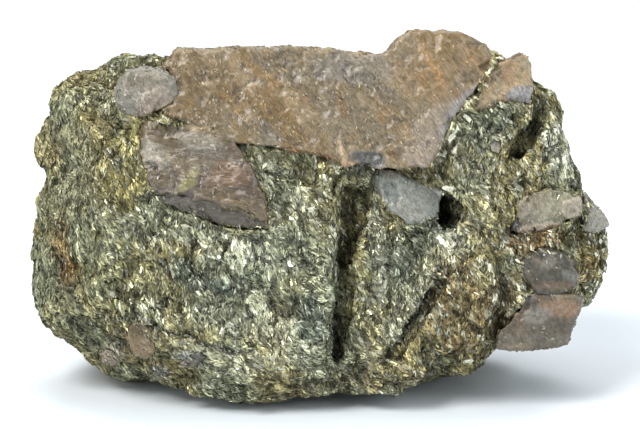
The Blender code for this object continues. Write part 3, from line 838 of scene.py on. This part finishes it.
ROCK_GROWTH = (  # rock that stands higher than the solid: middle (x, z), half lengths, push (x, y, z)
    ((17.0, 33.4), (2.2, 3.2), (0.1, -1.2, 1.9)),
    ((-25.0, 32.0), (4.0, 4.0), (-0.5, 0.0, 1.5)),
    ((-21.2, 34.5), (3.2, 3.2), (0.0, 0.0, 0.5)),
    ((-15.6, 28.9), (3.4, 1.8), (0.0, -2.2, 0.0)),
)
SHALLOWER = {  # a hollow's middle (x, z), half lengths, turn, rim depth, share of its depth kept
    "pit": ((13.9, 19.4), (1.4, 2.7), 0.0, -10.6, 0.35),
    "trough": ((20.6, 28.2), (4.6, 1.7), 62.0, -10.0, 0.85),
    "groove": ((2.6, 14.0), (1.9, 10.5), 0.0, -11.6, 0.8),
    "wedge": ((8.7, 9.3), (2.4, 8.0), -32.0, -11.6, 0.6),
}


# %% Places on a surface
def crystal_tree():
    """All crystals as one search tree, to find how far away they are."""
    all_points, all_faces, start = [], [], 0
    for points, faces in surfaces.values():
        all_points.append(points)
        all_faces.append(faces + start)
        start += len(points)
    return BVHTree.FromPolygons(np.vstack(all_points).tolist(), np.vstack(all_faces).tolist())


def nearest_on(tree, points, limit):
    """The nearest place on a searched surface for each point, and how far it is (limit if further)."""
    places, distances = points.copy(), np.full(len(points), limit)
    for i, point in enumerate(points.tolist()):
        place, _, _, distance = tree.find_nearest(point, limit)
        if place is not None:
            places[i], distances[i] = place, distance
    return places, distances


def foliated(points, stretch):
    """Points in a frame along the foliation, shortened that way so that cells in it come out long."""
    along = unit(FOLIATION)
    across = unit(np.cross(along, (0.0, 1.0, 0.0)))
    return points @ np.stack((along / stretch, across, np.cross(along, across)), axis=1)


# %% Schist surface
def schist_surface():
    """The rock's fine mesh with its relief: points and faces."""
    points, faces = fine_surface("schist", SCHIST_VOXEL, 2)
    for middle, reach, push in ROCK_GROWTH:
        off = np.linalg.norm((points[:, [0, 2]] - np.array(middle)) / np.array(reach), axis=1)
        points += np.array(push) * (smooth_step(1.0, 0.0, off) * on_front(points))[:, None]
    for middle, reach, turn, rim, kept in SHALLOWER.values():
        below = (points[:, 1] - rim).clip(0.0, None)
        points[:, 1] -= below * (1.0 - kept) * in_zone(points, middle, reach, turn)
    outward = point_normals(points, faces)
    bent = points + 0.7 * np.stack([noise(points, 2.0, 15 + axis) for axis in range(3)], axis=1)
    large_border, large_face, _ = cell_noise(foliated(bent, 1.7), LARGE_FACE, 21)
    small_border, small_face, _ = cell_noise(foliated(bent, 2.0), SMALL_FACE, 31)
    relief = 0.20 * fractal(points, 4.0, 3, 11) + LARGE_HEIGHT * large_face + SMALL_HEIGHT * small_face
    relief -= (LARGE_CLEFT * smooth_step(0.18, 0.0, large_border)
               + SMALL_CLEFT * smooth_step(0.2, 0.0, small_border))
    relief = relief.clip(-1.2, 0.8)
    for path, width, depth in CREVICES.values():
        relief -= depth * near_path(points, path, width)
    relief *= 0.5 + 0.5 * smooth_step(0.1, 0.7, np.abs(outward[:, 1]))
    relief *= smooth_step(0.0, FOOT_CLEARANCE, to_world(points)[:, 2])
    places, distances = nearest_on(crystal_tree(), points, SEAM_REACH)
    near = smooth_step(SEAM_REACH, 0.35, distances)[:, None]
    climb = SEAM_CLIMB * near[:, 0] * smooth_step(-0.5, 0.3, fractal(points, 1.6, 2, 51))
    climb = climb * on_front(points)
    points[:, 1] -= climb
    places[:, 1] -= climb
    points = points + outward * (relief * (1.0 - near[:, 0]))[:, None]
    points = points + (places - points) * 0.85 * near * (distances < SEAM_REACH)[:, None]
    return held_in_box(points), faces


schist_points, schist_faces = schist_surface()
print("schist quads:", len(schist_faces))

# %% Schist colours
OLIVE, GREEN, SILVER = (0.28, 0.245, 0.120), (0.25, 0.26, 0.168), (0.52, 0.525, 0.39)
BOTTLE, OCHRE, RUSTY = (0.075, 0.10, 0.08), (0.25, 0.185, 0.085), (0.27, 0.14, 0.045)
WEATHERED = (0.20, 0.145, 0.075)  # the back's browner skin
SCHIST_ZONES = {  # middle (x, z), half lengths, turn in degrees, colour, strength
    "left_flank": ((-26.0, 25.0), (3.0, 6.0), 0.0, (0.36, 0.36, 0.24), 0.7),
    "silver_mass": ((-7.3, 14.2), (5.0, 3.6), -20.0, (0.50, 0.54, 0.39), 0.4),
    "silver_lower": ((-4.0, 7.5), (4.0, 2.4), -30.0, SILVER, 0.45),
    "silver_band": ((-9.5, 5.0), (7.0, 1.6), -8.0, SILVER, 0.3),
    "silver_under_crystal": ((-9.0, 16.0), (4.5, 1.5), -15.0, SILVER, 0.4),
    # painted glints and sheen: pale mica made brighter where it flashes, and a painted highlight on the
    # groove's lit rim
    "silver_glint_right_of_pit": ((12.6, 17.2), (2.6, 1.3), -25.0, SILVER, 0.65),
    "silver_glint_top_left": ((-21.5, 31.0), (2.2, 1.4), -10.0, SILVER, 0.5),
    "silver_sheen_trough_rim": ((23.4, 26.0), (1.6, 2.8), 25.0, SILVER, 0.85),
    "lit_silver_groove_rim": ((5.4, 16.5), (0.9, 7.0), 2.0, SILVER, 0.6),
    "olive_flank": ((-19.4, 24.4), (2.2, 5.5), -15.0, (0.28, 0.245, 0.10), 0.75),
    "olive_left_low": ((-19.5, 13.5), (4.5, 3.5), -35.0, (0.30, 0.29, 0.150), 0.5),
    "blue_green_nest": ((-10.3, 12.4), (1.8, 1.0), -20.0, (0.10, 0.14, 0.125), 0.7),
    "top_left_edge": ((-20.5, 33.9), (5.2, 1.5), 15.0, (0.14, 0.13, 0.060), 0.85),
    "green_nest_left": ((-13.2, 13.2), (2.6, 1.5), -30.0, BOTTLE, 0.8),
    "green_nest_crystal": ((-3.8, 22.4), (1.8, 1.6), 30.0, BOTTLE, 0.6),
    # painted glints in the dark nest
    "silver_glint_in_nest": ((-2.6, 21.0), (1.1, 0.6), -40.0, SILVER, 0.6),
    "silver_glint_over_nest": ((-4.6, 24.0), (1.6, 0.5), -15.0, SILVER, 0.6),
    "green_nest_middle": ((-1.4, 9.4), (1.6, 2.6), 10.0, BOTTLE, 0.75),
    "green_nest_right": ((17.2, 28.6), (2.0, 1.8), 0.0, BOTTLE, 0.5),
    "green_nest_groove": ((7.6, 14.6), (1.4, 3.0), 20.0, (0.11, 0.13, 0.10), 0.6),
    "left_rust_high": ((-27.9, 25.8), (0.7, 1.6), 0.0, RUSTY, 0.9),
    "left_rust": ((-26.5, 15.4), (1.6, 3.8), 6.0, (0.25, 0.165, 0.065), 0.75),
    "left_rust_core": ((-26.3, 14.0), (0.7, 1.6), 10.0, (0.15, 0.085, 0.030), 0.8),
    # painted light: the groove's floor is paler, as where light reaches it
    "painted_light_groove_floor": ((3.1, 15.0), (1.4, 8.5), 0.0, (0.31, 0.28, 0.135), 0.8),
    "ochre_right": ((13.2, 9.8), (3.8, 5.5), 20.0, OCHRE, 0.75),
    # the mould's grey wall, darkened further as painted shade
    "grey_shaded_wedge_wall": ((8.3, 9.8), (1.3, 5.0), -30.0, (0.20, 0.20, 0.14), 0.7),
    "brown_rubble": ((20.5, 16.8), (3.6, 1.2), 10.0, (0.20, 0.125, 0.05), 0.85),
    "brown_left_of_crystals": ((18.0, 11.5), (1.8, 2.8), 0.0, (0.20, 0.145, 0.08), 0.7),
    "gold_right": ((26.6, 15.0), (1.6, 2.6), 0.0, (0.26, 0.19, 0.07), 0.8),
    "lower_rim": ((5.0, 2.4), (9.0, 1.6), 5.0, (0.24, 0.20, 0.11), 0.5),
    "pit_wall": ((14.2, 18.9), (1.6, 2.0), 0.0, (0.20, 0.18, 0.11), 0.75),
    # painted light: a paler floor in the trough, which lies in shade
    "painted_light_trough_floor": ((20.8, 28.4), (3.8, 1.1), 62.0, (0.36, 0.35, 0.21), 0.7),
    "pink_lump": ((-18.2, 7.0), (1.9, 2.1), 0.0, (0.34, 0.28, 0.185), 0.7),
    "blue_grains": ((-16.7, 3.5), (1.1, 0.7), 0.0, (0.25, 0.26, 0.27), 0.7),
    "blue_grains_right": ((-13.1, 5.0), (1.4, 0.8), 0.0, (0.25, 0.26, 0.27), 0.7),
    "grey_corner": ((-21.4, 5.3), (1.3, 1.0), 0.0, (0.34, 0.325, 0.27), 0.7),
    # painted highlight on the low ledge, as the floor throws light up onto it
    "painted_highlight_ledge": ((-22.0, 4.2), (3.2, 0.7), -38.0, (0.48, 0.43, 0.26), 0.8),
    "mica_patch": ((16.9, 34.2), (2.2, 1.2), 50.0, (0.42, 0.39, 0.22), 0.9),
    "pale_seam": ((-11.6, 28.6), (2.2, 0.7), -10.0, (0.45, 0.40, 0.27), 0.8),
}


# %% Painted schist
def schist_colours(points):
    """The rock's colours: green and olive in clouds, stains, zones, then painted shade in the crevices and
    a painted highlight on the pit's lip.
    """
    cloud = smooth_step(-0.6, 0.6, fractal(points, 5.0, 3, 61))[:, None]
    colours = np.array(GREEN) * (1.0 - cloud) + np.array(OLIVE) * cloud
    stain = smooth_step(0.5, 1.0, fractal(points, 7.0, 4, 71))[:, None] * 0.5
    colours = colours * (1.0 - stain) + np.array(OCHRE) * stain
    weathered = smooth_step(4.0, 12.0, points[:, 1]) * smooth_step(-0.2, 0.7, fractal(points, 9.0, 4, 77))
    colours = colours * (1.0 - 0.6 * weathered[:, None]) + np.array(WEATHERED) * 0.6 * weathered[:, None]
    colours = painted(points, colours, SCHIST_ZONES)
    # painted shade along each crevice; the pit's lip, whose depth is below 0, gets a painted highlight
    for path, width, depth in CREVICES.values():
        colours = colours * (1.0 - min(0.75, 1.2 * depth) * near_path(points, path, width))[:, None]
    return colours


# %% Schist piece
# painted shade in the rock's hollows and a painted highlight on its edges; the flakes take it too
HOLLOW_SHADE_AND_EDGE_LIGHT = 1.9  # how much darker the hollows are, and paler the edges, for each millimetre
schist_shade = np.exp(-HOLLOW_SHADE_AND_EDGE_LIGHT * hollowness(schist_points, schist_faces, 7)).clip(0.55, 1.4)
add_piece("schist_rock", schist_points, schist_faces.ravel(), np.full(len(schist_faces), 4), rock,
          schist_colours(schist_points) * schist_shade[:, None], True, "schist", "schist")

# %% [markdown]
# ## Mica flakes
# The glitter is made of flakes, long needles and broader plates: each is a flat facet whose sides
# run down to one point inside the rock, so it is closed and casts a small shadow. Mica grows in
# books, so the flakes of one small bundle share a direction, a tilt and a tone, and the bundle
# flashes or stays dark as a whole. Flakes that were all turned at random would look like
# scattered paper. Scattering one flake with instances would be simpler, but every flake would
# then be alike, and joined meshes are kept by an export. Numpy makes all of a piece's flakes at
# once.

# %% Scattered places
def scattered(points, faces, weights, count, rng):
    """Places on a surface, more where the weights are high: points, outward directions, faces."""
    a, b, c, d = (points[faces[:, i]] for i in range(4))
    areas = np.linalg.norm(np.cross(c - a, d - b), axis=1) / 2.0
    chances = areas * weights
    chosen = rng.choice(len(faces), count, p=chances / chances.sum())
    right, up = rng.random((2, count, 1))
    low = a[chosen] * (1.0 - right) + b[chosen] * right
    high = d[chosen] * (1.0 - right) + c[chosen] * right
    outward = point_normals(points, faces)[faces[chosen]].sum(axis=1)
    return low * (1.0 - up) + high * up, unit(outward), chosen


# %% Bundles
BUNDLE_SIZE, BUNDLE_STRETCH = 0.62, 2.0


def bundles(places):
    """The bundle that each place belongs to: depth from its border, and three shared numbers."""
    bent = places + 0.4 * np.stack([noise(places, 1.2, 85 + axis) for axis in range(3)], axis=1)
    border, _, shared = cell_noise(foliated(bent, BUNDLE_STRETCH), BUNDLE_SIZE, 181)
    return border, shared


SWIRL, FOOT_SWIRL = 30.0, 32.0  # degrees that the foliation turns from place to place, and at the foot
BUNDLE_TURN, BUNDLE_ROLL, BUNDLE_PITCH = 80.0, 60.0, 16.0  # degrees over which bundles are spread
FLAKE_TURN, FLAKE_ROLL, FLAKE_PITCH = 13.0, 10.0, 4.0  # degrees of scatter inside a bundle
STEEPEST = 42.0


def flake_frames(places, outward, rng):
    """For each flake, the directions along and across its face. Those of a bundle lie much alike."""
    count = len(places)
    _, shared = bundles(places)
    swirl = np.radians(SWIRL * noise(places, 5.0, 81) + FOOT_SWIRL * smooth_step(9.0, 4.0, places[:, 2])
                       + BUNDLE_TURN * (shared[:, 0] - 0.5) + FLAKE_TURN * rng.standard_normal(count))
    along = unit(FOLIATION - outward * (outward @ FOLIATION)[:, None])
    across = np.cross(outward, along)
    turn_cos, turn_sin = np.cos(swirl)[:, None], np.sin(swirl)[:, None]
    along, across = along * turn_cos + across * turn_sin, across * turn_cos - along * turn_sin
    roll = BUNDLE_ROLL * (shared[:, 1] - 0.5) + FLAKE_ROLL * rng.standard_normal(count)
    pitch = BUNDLE_PITCH * (shared[:, 2] - 0.5) + FLAKE_PITCH * rng.standard_normal(count)
    roll, pitch = (np.tan(np.radians(angle.clip(-STEEPEST, STEEPEST)))[:, None] for angle in (roll, pitch))
    return unit(along + outward * pitch), unit(across + outward * roll)


# %% Flake meshes
# the corners of a flake's face, as shares of its length and width
NEEDLE = ((-0.5, -0.3), (0.5, 0.0), (-0.35, 0.5))
PLATE = ((-0.5, -0.5), (0.5, -0.5), (0.5, 0.5), (-0.5, 0.5))


def flake_mesh(outline, places, outward, along, across, lengths, widths, rng):
    """Flakes whose sides meet in the rock: their points, the faces' corners and the faces' sizes."""
    count, around = len(places), len(outline)
    lift = rng.uniform(0.02, 0.13, (count, 1))
    rows = []
    for right, up in outline:
        shift = rng.uniform(-0.25, 0.25, (2, count))
        rows.append(places + outward * lift + along * ((right + shift[0]) * lengths)[:, None]
                    + across * ((up + shift[1] * 0.8) * widths)[:, None])
    rows.append(places - outward * rng.uniform(0.15, 0.28, (count, 1)))
    pattern = list(range(around))
    for i in range(around):
        pattern += [(i + 1) % around, i, around]
    corner_list = (np.arange(count)[:, None] * (around + 1) + np.array(pattern)).ravel()
    return np.stack(rows, axis=1).reshape(-1, 3), corner_list, np.tile((around, *[3] * around), count)


# %% Flake colours
FLAKE_SILVER = np.array((0.60, 0.61, 0.485))
FLAKE_DARK = np.array((0.010, 0.012, 0.004))
FLANK = (-20.0, -24.5)  # from here to here along X the mica gets calmer, towards the left flank
# painted shade between bundles: flakes darken towards their bundle's border
BORDER_LIGHT = 0.38  # share of its light that a flake keeps on its bundle's border
BRIGHTEST = 0.9  # no flake's colour is brighter


def flake_colours(places, rng):
    """Each flake's colour: the rock's there, lighter or darker by bundle, some silver, some dark, with
    painted shade near its bundle's border.
    """
    border, shared = bundles(places)
    flank = smooth_step(*FLANK, places[:, 0])
    shade = 0.23 + (1.0 - 0.5 * flank) * (shared[:, 2] - 0.5 + rng.normal(0.0, 0.32, len(places)))
    ground = schist_colours(places)
    colours = ground * np.exp(shade)[:, None]
    # more silver flakes in the dark nests, as painted glints there
    nest = 0.45 * smooth_step(0.17, 0.10, ground[:, 1])
    silver_share = (0.75 * smooth_step(0.60, 0.92, shared[:, 1]) + 0.12 + nest) * (1.0 - 0.6 * flank)
    silver = rng.random(len(places)) < silver_share
    colours = np.where(silver[:, None], colours * 0.3 + FLAKE_SILVER * 0.7, colours)
    dark = rng.random(len(places)) < 0.6 * smooth_step(0.3, 0.05, shared[:, 0]) + 0.08
    colours = np.where(dark[:, None], colours * 0.19 + FLAKE_DARK, colours)
    # painted shade towards the bundle's border
    light = BORDER_LIGHT + (1.0 - BORDER_LIGHT) * smooth_step(0.0, 0.28, border)
    return (colours * light[:, None]).clip(0.0, BRIGHTEST)


# %% Flakes over the schist
FLAKES = {  # part of the surface: how many needles and how many plates
    "mica_front_left": (29000, 9000),
    "mica_front_right": (28000, 9000),
    "mica_top_and_sides": (13000, 8500),
    "mica_back_and_under": (12500, 8500),
}
KINDS = (  # outline, shortest and longest, narrowest and widest in mm
    (NEEDLE, (0.30, 0.80), (0.06, 0.13)),
    (PLATE, (0.25, 0.60), (0.09, 0.24)),
)


def flakes_on(part, points, faces, shade, weights, counts, rng, growth=1.0):
    """All flakes of one part of a surface, as one piece."""
    all_points, all_corners, all_sizes, all_colours, start = [], [], [], [], 0
    for (outline, length_range, width_range), count in zip(KINDS, counts):
        places, outward, chosen = scattered(points, faces, weights, count, rng)
        lengths = growth * rng.uniform(*length_range, count)
        widths = growth * rng.uniform(*width_range, count)
        along, across = flake_frames(places, outward, rng)
        flakes, corner_list, sizes = flake_mesh(outline, places, outward, along, across,
                                                lengths, widths, rng)
        all_points.append(flakes)
        all_corners.append(corner_list + start)
        all_sizes.append(sizes)
        # the painted shade of hollows and highlight of edges, carried onto each flake
        tones = flake_colours(places, rng) * shade[faces[chosen]].mean(axis=1)[:, None]
        all_colours.append(np.repeat(tones.clip(0.0, BRIGHTEST), len(outline) + 1, axis=0))
        start += len(flakes)
    return add_piece(part, np.vstack(all_points), np.concatenate(all_corners), np.concatenate(all_sizes),
                     mica, np.vstack(all_colours), False, "schist")


# %% Parts of the surface
face_middles = schist_points[schist_faces].mean(axis=1)
face_outward = point_normals(schist_points, schist_faces)[schist_faces[:, 0]]
_, from_crystal = nearest_on(crystal_tree(), face_middles, 0.5)
open_face = (from_crystal > 0.28) & (to_world(face_middles)[:, 2] > 0.35)
facing_front = (face_outward[:, 1] < -0.25) & (face_middles[:, 1] < -2.0)
facing_back = (face_outward[:, 1] > 0.3) | (face_outward[:, 2] < -0.75)
parts = {
    "mica_front_left": facing_front & (face_middles[:, 0] < 2.0),
    "mica_front_right": facing_front & (face_middles[:, 0] >= 2.0),
    "mica_top_and_sides": ~facing_front & ~facing_back,
    "mica_back_and_under": ~facing_front & facing_back,
}
bare = 1.0 - 0.6 * in_zone(face_middles, (-17.3, 5.6), (5.5, 2.6), -15.0)  # fewer at the lower left
for order, (part, counts) in enumerate(FLAKES.items()):
    flakes_on(part, schist_points, schist_faces, schist_shade, (open_face & parts[part]) * bare, counts,
              np.random.default_rng(1000 + order), 1.0 if "front" in part else 1.15)

# %% [markdown]
# ## Mica over the seams
# Where rock meets crystal the mica laps over the crystal's edge, here and there. Without it the
# crystals look laid on. The flakes sit on the crystals' own skins, close to the rock, in patches.

# %% Flakes over the seams
SEAM_FLAKES = (6500, 2600)  # needles and plates
schist_near = BVHTree.FromPolygons(schist_points.tolist(), schist_faces.tolist())
skin_points = np.vstack([points for points, _ in surfaces.values()])
skin_faces, start = [], 0
for points, faces in surfaces.values():
    skin_faces.append(faces + start)
    start += len(points)
skin_faces = np.vstack(skin_faces)
skin_middles = skin_points[skin_faces].mean(axis=1)
_, from_rock = nearest_on(schist_near, skin_middles, 1.2)
patchy = smooth_step(-0.1, 0.35, fractal(skin_middles, 1.8, 2, 97))
reach = np.where(skin_middles[:, 0] > 17.0, 1.2, 0.9)  # further over the crystals of the right flank
lapped = smooth_step(reach, 0.2, from_rock) * patchy * (skin_middles[:, 1] < -3.0)
flakes_on("mica_over_seams", skin_points, skin_faces, np.ones(len(skin_points)), lapped, SEAM_FLAKES,
          np.random.default_rng(1010))

# %% [markdown]
# ## Mica blades
# A few books of mica are much larger than the rest and lie in known places: beside the large
# crystal, at the pit and along the right side. Each is a small stack of plates that share one
# direction and one tilt, so that the whole book flashes together. A ray from the front finds the
# place on the rock where each one lies.

# %% Mica blades
BLADES = (  # place on the display face (x, z), length, width, turn in degrees, tilt towards the light
    (14.1, 29.2, 1.0, 0.30, -42.0, 0.2), (12.8, 27.4, 1.2, 0.45, 55.0, 0.3),
    (13.1, 26.0, 1.0, 0.35, 75.0, 0.2), (12.1, 25.6, 0.8, 0.35, 68.0, 0.4),
    (19.7, 23.1, 0.7, 0.30, 60.0, 0.3), (12.3, 22.1, 1.0, 0.30, -15.0, 0.3),
    (23.6, 18.4, 0.8, 0.30, 72.0, 0.3), (11.7, 16.9, 0.9, 0.25, -50.0, 0.2),
    (12.9, 16.3, 0.8, 0.22, 40.0, 0.2), (13.9, 16.8, 0.8, 0.30, -60.0, 0.4),
    (14.6, 4.6, 0.9, 0.30, 10.0, 0.3), (27.0, 12.2, 0.7, 0.30, 60.0, 0.2),
    (28.0, 16.9, 0.6, 0.30, -20.0, 0.3), (-16.6, 16.9, 1.1, 0.30, 85.0, 0.2),
    (-6.4, 25.2, 0.9, 0.35, -55.0, 0.4), (-5.9, 24.3, 0.7, 0.25, 40.0, 0.4),
    (-1.1, 20.1, 0.7, 0.30, 25.0, 0.3), (-13.6, 18.2, 0.9, 0.35, -20.0, 0.4),
    (-14.9, 13.7, 0.8, 0.25, -70.0, 0.3), (-12.0, 16.4, 1.0, 0.30, -50.0, 0.4),
    (-9.3, 15.0, 0.9, 0.30, -65.0, 0.3), (-3.4, 14.8, 1.0, 0.30, -60.0, 0.3),
    (1.4, 12.6, 0.9, 0.25, 80.0, 0.3), (6.1, 12.4, 0.8, 0.30, 70.0, 0.4),
)
BLADE_TONE = np.array((0.62, 0.60, 0.47))
SHEETS = 5  # plates in each book
TOWARDS_LIGHT = np.array((-0.25, -1.0, 0.45))


# %% Books of mica
def blades():
    """The large books of mica, as one piece."""
    rng = np.random.default_rng(1015)
    places, outward, along, across, lengths, widths = [], [], [], [], [], []
    for right, up, length, width, turn, tilt in BLADES:
        hit, normal, _, _ = schist_near.ray_cast((right, -40.0, up), (0.0, 1.0, 0.0))
        facing = np.array(normal) * -np.sign(normal.y)
        facing = unit(facing + TOWARDS_LIGHT * tilt)
        run = np.array((math.cos(math.radians(turn)), 0.0, math.sin(math.radians(turn))))
        run = unit(run - facing * (run @ facing))
        side = np.cross(facing, run)
        for _ in range(SHEETS):
            shift = rng.uniform(-0.4, 0.4, 2) * (length * 0.6, width * 1.2)
            place = np.array(hit) + run * shift[0] + side * shift[1]
            places.append(place + facing * rng.uniform(0.02, 0.12))
            outward.append(facing)
            along.append(unit(run + side * rng.normal(0.0, 0.12)))
            across.append(side)
            lengths.append(length * rng.uniform(0.5, 1.0))
            widths.append(width * rng.uniform(0.5, 1.0))
    count = len(places)
    tones = BLADE_TONE * np.exp(rng.normal(0.0, 0.15, (count, 1)))
    points, corner_list, sizes = flake_mesh(PLATE, np.array(places), np.array(outward), np.array(along),
                                            np.array(across), np.array(lengths), np.array(widths), rng)
    return add_piece("mica_blades", points, corner_list, sizes, mica,
                     np.repeat(tones, len(PLATE) + 1, axis=0).clip(0.0, BRIGHTEST), False, "schist")


blades()

# %% [markdown]
# ## Chips and fibres on the crystals
# Lawsonite's skin is sugary with small cleavage chips that catch the light, and the large crystal
# shows fine fibres along its cleavage. Both are made as the flakes are, smaller and in the
# crystal's own finish and colours, so that the crystals are not too smooth. More relief in the
# crystal's mesh could give them too, but at four times its triangles.

# %% Crystal chips
CHIPS = {"tan_crystal": 5000, "grey_crystal": 2400, "brown_crystal": 1600}
FIBRES = 2400
GLINT_CHIP_TONE = np.array((0.24, 0.22, 0.17))


# %% Chips and fibres
def chips_on(slot, count, rng, fibres=False):
    """Chips over all crystals of one finish, or fibres along the large crystal's lines, as one piece."""
    names = ["large_crystal"] if fibres else [name for name in surfaces if SLOTS[name] == slot]
    points, faces, start = [], [], 0
    for name in names:
        points.append(surfaces[name][0])
        faces.append(surfaces[name][1] + start)
        start += len(surfaces[name][0])
    points, faces = np.vstack(points), np.vstack(faces)
    tones = np.vstack([crystal_colours(name, surfaces[name][0], 500 + 10 * list(surfaces).index(name))
                       for name in names])
    at = points[faces[:, 0]]
    patchy = smooth_step(-0.3, 0.5, fractal(at, 1.5, 3, 301))
    weights = (at[:, 1] < -2.0) * patchy * np.where(at[:, 0] < 6.0, 1.0, 0.4)
    places, outward, _ = scattered(points, faces, weights, count, rng)
    near = KDTree(len(points))
    for i, point in enumerate(points.tolist()):
        near.insert(point, i)
    near.balance()
    own = tones[[near.find(place)[1] for place in places.tolist()]]
    lengths, widths = rng.uniform(0.12, 0.40, count), rng.uniform(0.05, 0.16, count)
    along, across = flake_frames(places, outward, rng)
    outline = NEEDLE if fibres else PLATE
    if fibres:
        right, up = CRYSTALS["large_crystal"][4]
        run = np.array((right, 0.0, up)) + rng.normal(0.0, 0.12, (count, 3))
        along = unit(run - outward * (run * outward).sum(axis=1)[:, None])
        across = np.cross(outward, along)
        lengths, widths = lengths * 2.2, widths * 0.45
    flakes, corner_list, sizes = flake_mesh(outline, places, outward, along, across,
                                            lengths, widths, rng)
    own = own * np.exp(rng.normal(0.08, 0.36, (count, 1)))
    # some chips are painted pale as standing glints
    pale = rng.random((count, 1)) < 0.13
    own = np.where(pale, own * 0.5 + GLINT_CHIP_TONE, own)
    return add_piece(f"{'fibres' if fibres else 'chips'}_on_{slot}", flakes, corner_list, sizes,
                     FINISHES[slot], np.repeat(own, len(outline) + 1, axis=0), False, slot)


for order, (slot, count) in enumerate(CHIPS.items()):
    chips_on(slot, count, np.random.default_rng(1020 + order))
chips_on("tan_crystal", FIBRES, np.random.default_rng(1030), fibres=True)

# %% [markdown]
# ## Floor and light
# The specimen stands on a plain white floor. A soft key light from the upper left is small enough
# to make the flakes flash. A wide top light, a weak fill from each side, the left one low, and a
# pale world open the shadows, and the floor throws light back up under the rock. One large light
# alone would be softer still, but then no flake would stand out.

# %% Floor
floor_shape = bmesh.new()
bmesh.ops.create_grid(floor_shape, x_segments=1, y_segments=1, size=3.0)
floor_mesh = bpy.data.meshes.new("floor")
floor_shape.to_mesh(floor_mesh)
floor_shape.free()
floor = bpy.data.objects.new("floor", floor_mesh)
bpy.context.scene.collection.objects.link(floor)
floor.location.z = -0.1 * MM
floor_material, _, floor_shader = new_material("white_floor")
floor_shader.inputs["Base Color"].default_value = (0.76, 0.81, 0.87, 1.0)
floor_shader.inputs["Roughness"].default_value = 0.9
floor_mesh.materials.append(floor_material)
print("floor:", tuple(floor.dimensions))


# %% Lights
def add_light(name, place, size, power, colour=(1.0, 1.0, 1.0)):
    """A square area light that looks at the specimen. Place and size are in millimetres."""
    data = bpy.data.lights.new(name, "AREA")
    data.size, data.energy, data.color = size * MM, power, colour
    light = bpy.data.objects.new(name, data)
    bpy.context.scene.collection.objects.link(light)
    light.location = Vector(place) * MM
    light.rotation_euler = (Vector((0.0, 0.0, 18.0)) - Vector(place)).to_track_quat("-Z", "Y").to_euler()
    return light


add_light("key", (-280.0, -380.0, 520.0), 300.0, 4.7, (1.0, 0.985, 0.95))
add_light("top", (60.0, 300.0, 640.0), 700.0, 4.0, (1.0, 1.0, 0.98))
add_light("fill", (420.0, -300.0, 260.0), 420.0, 1.8, (0.90, 0.95, 1.0))
add_light("low_fill", (-420.0, -300.0, 70.0), 420.0, 1.2, (0.97, 0.98, 0.96))
world = bpy.data.worlds.new("pale_surround")
world.use_nodes = True
world.node_tree.nodes["Background"].inputs["Color"].default_value = (0.93, 0.96, 0.97, 1.0)
world.node_tree.nodes["Background"].inputs["Strength"].default_value = 0.33
bpy.context.scene.world = world
bpy.context.scene.view_settings.view_transform = "Standard"
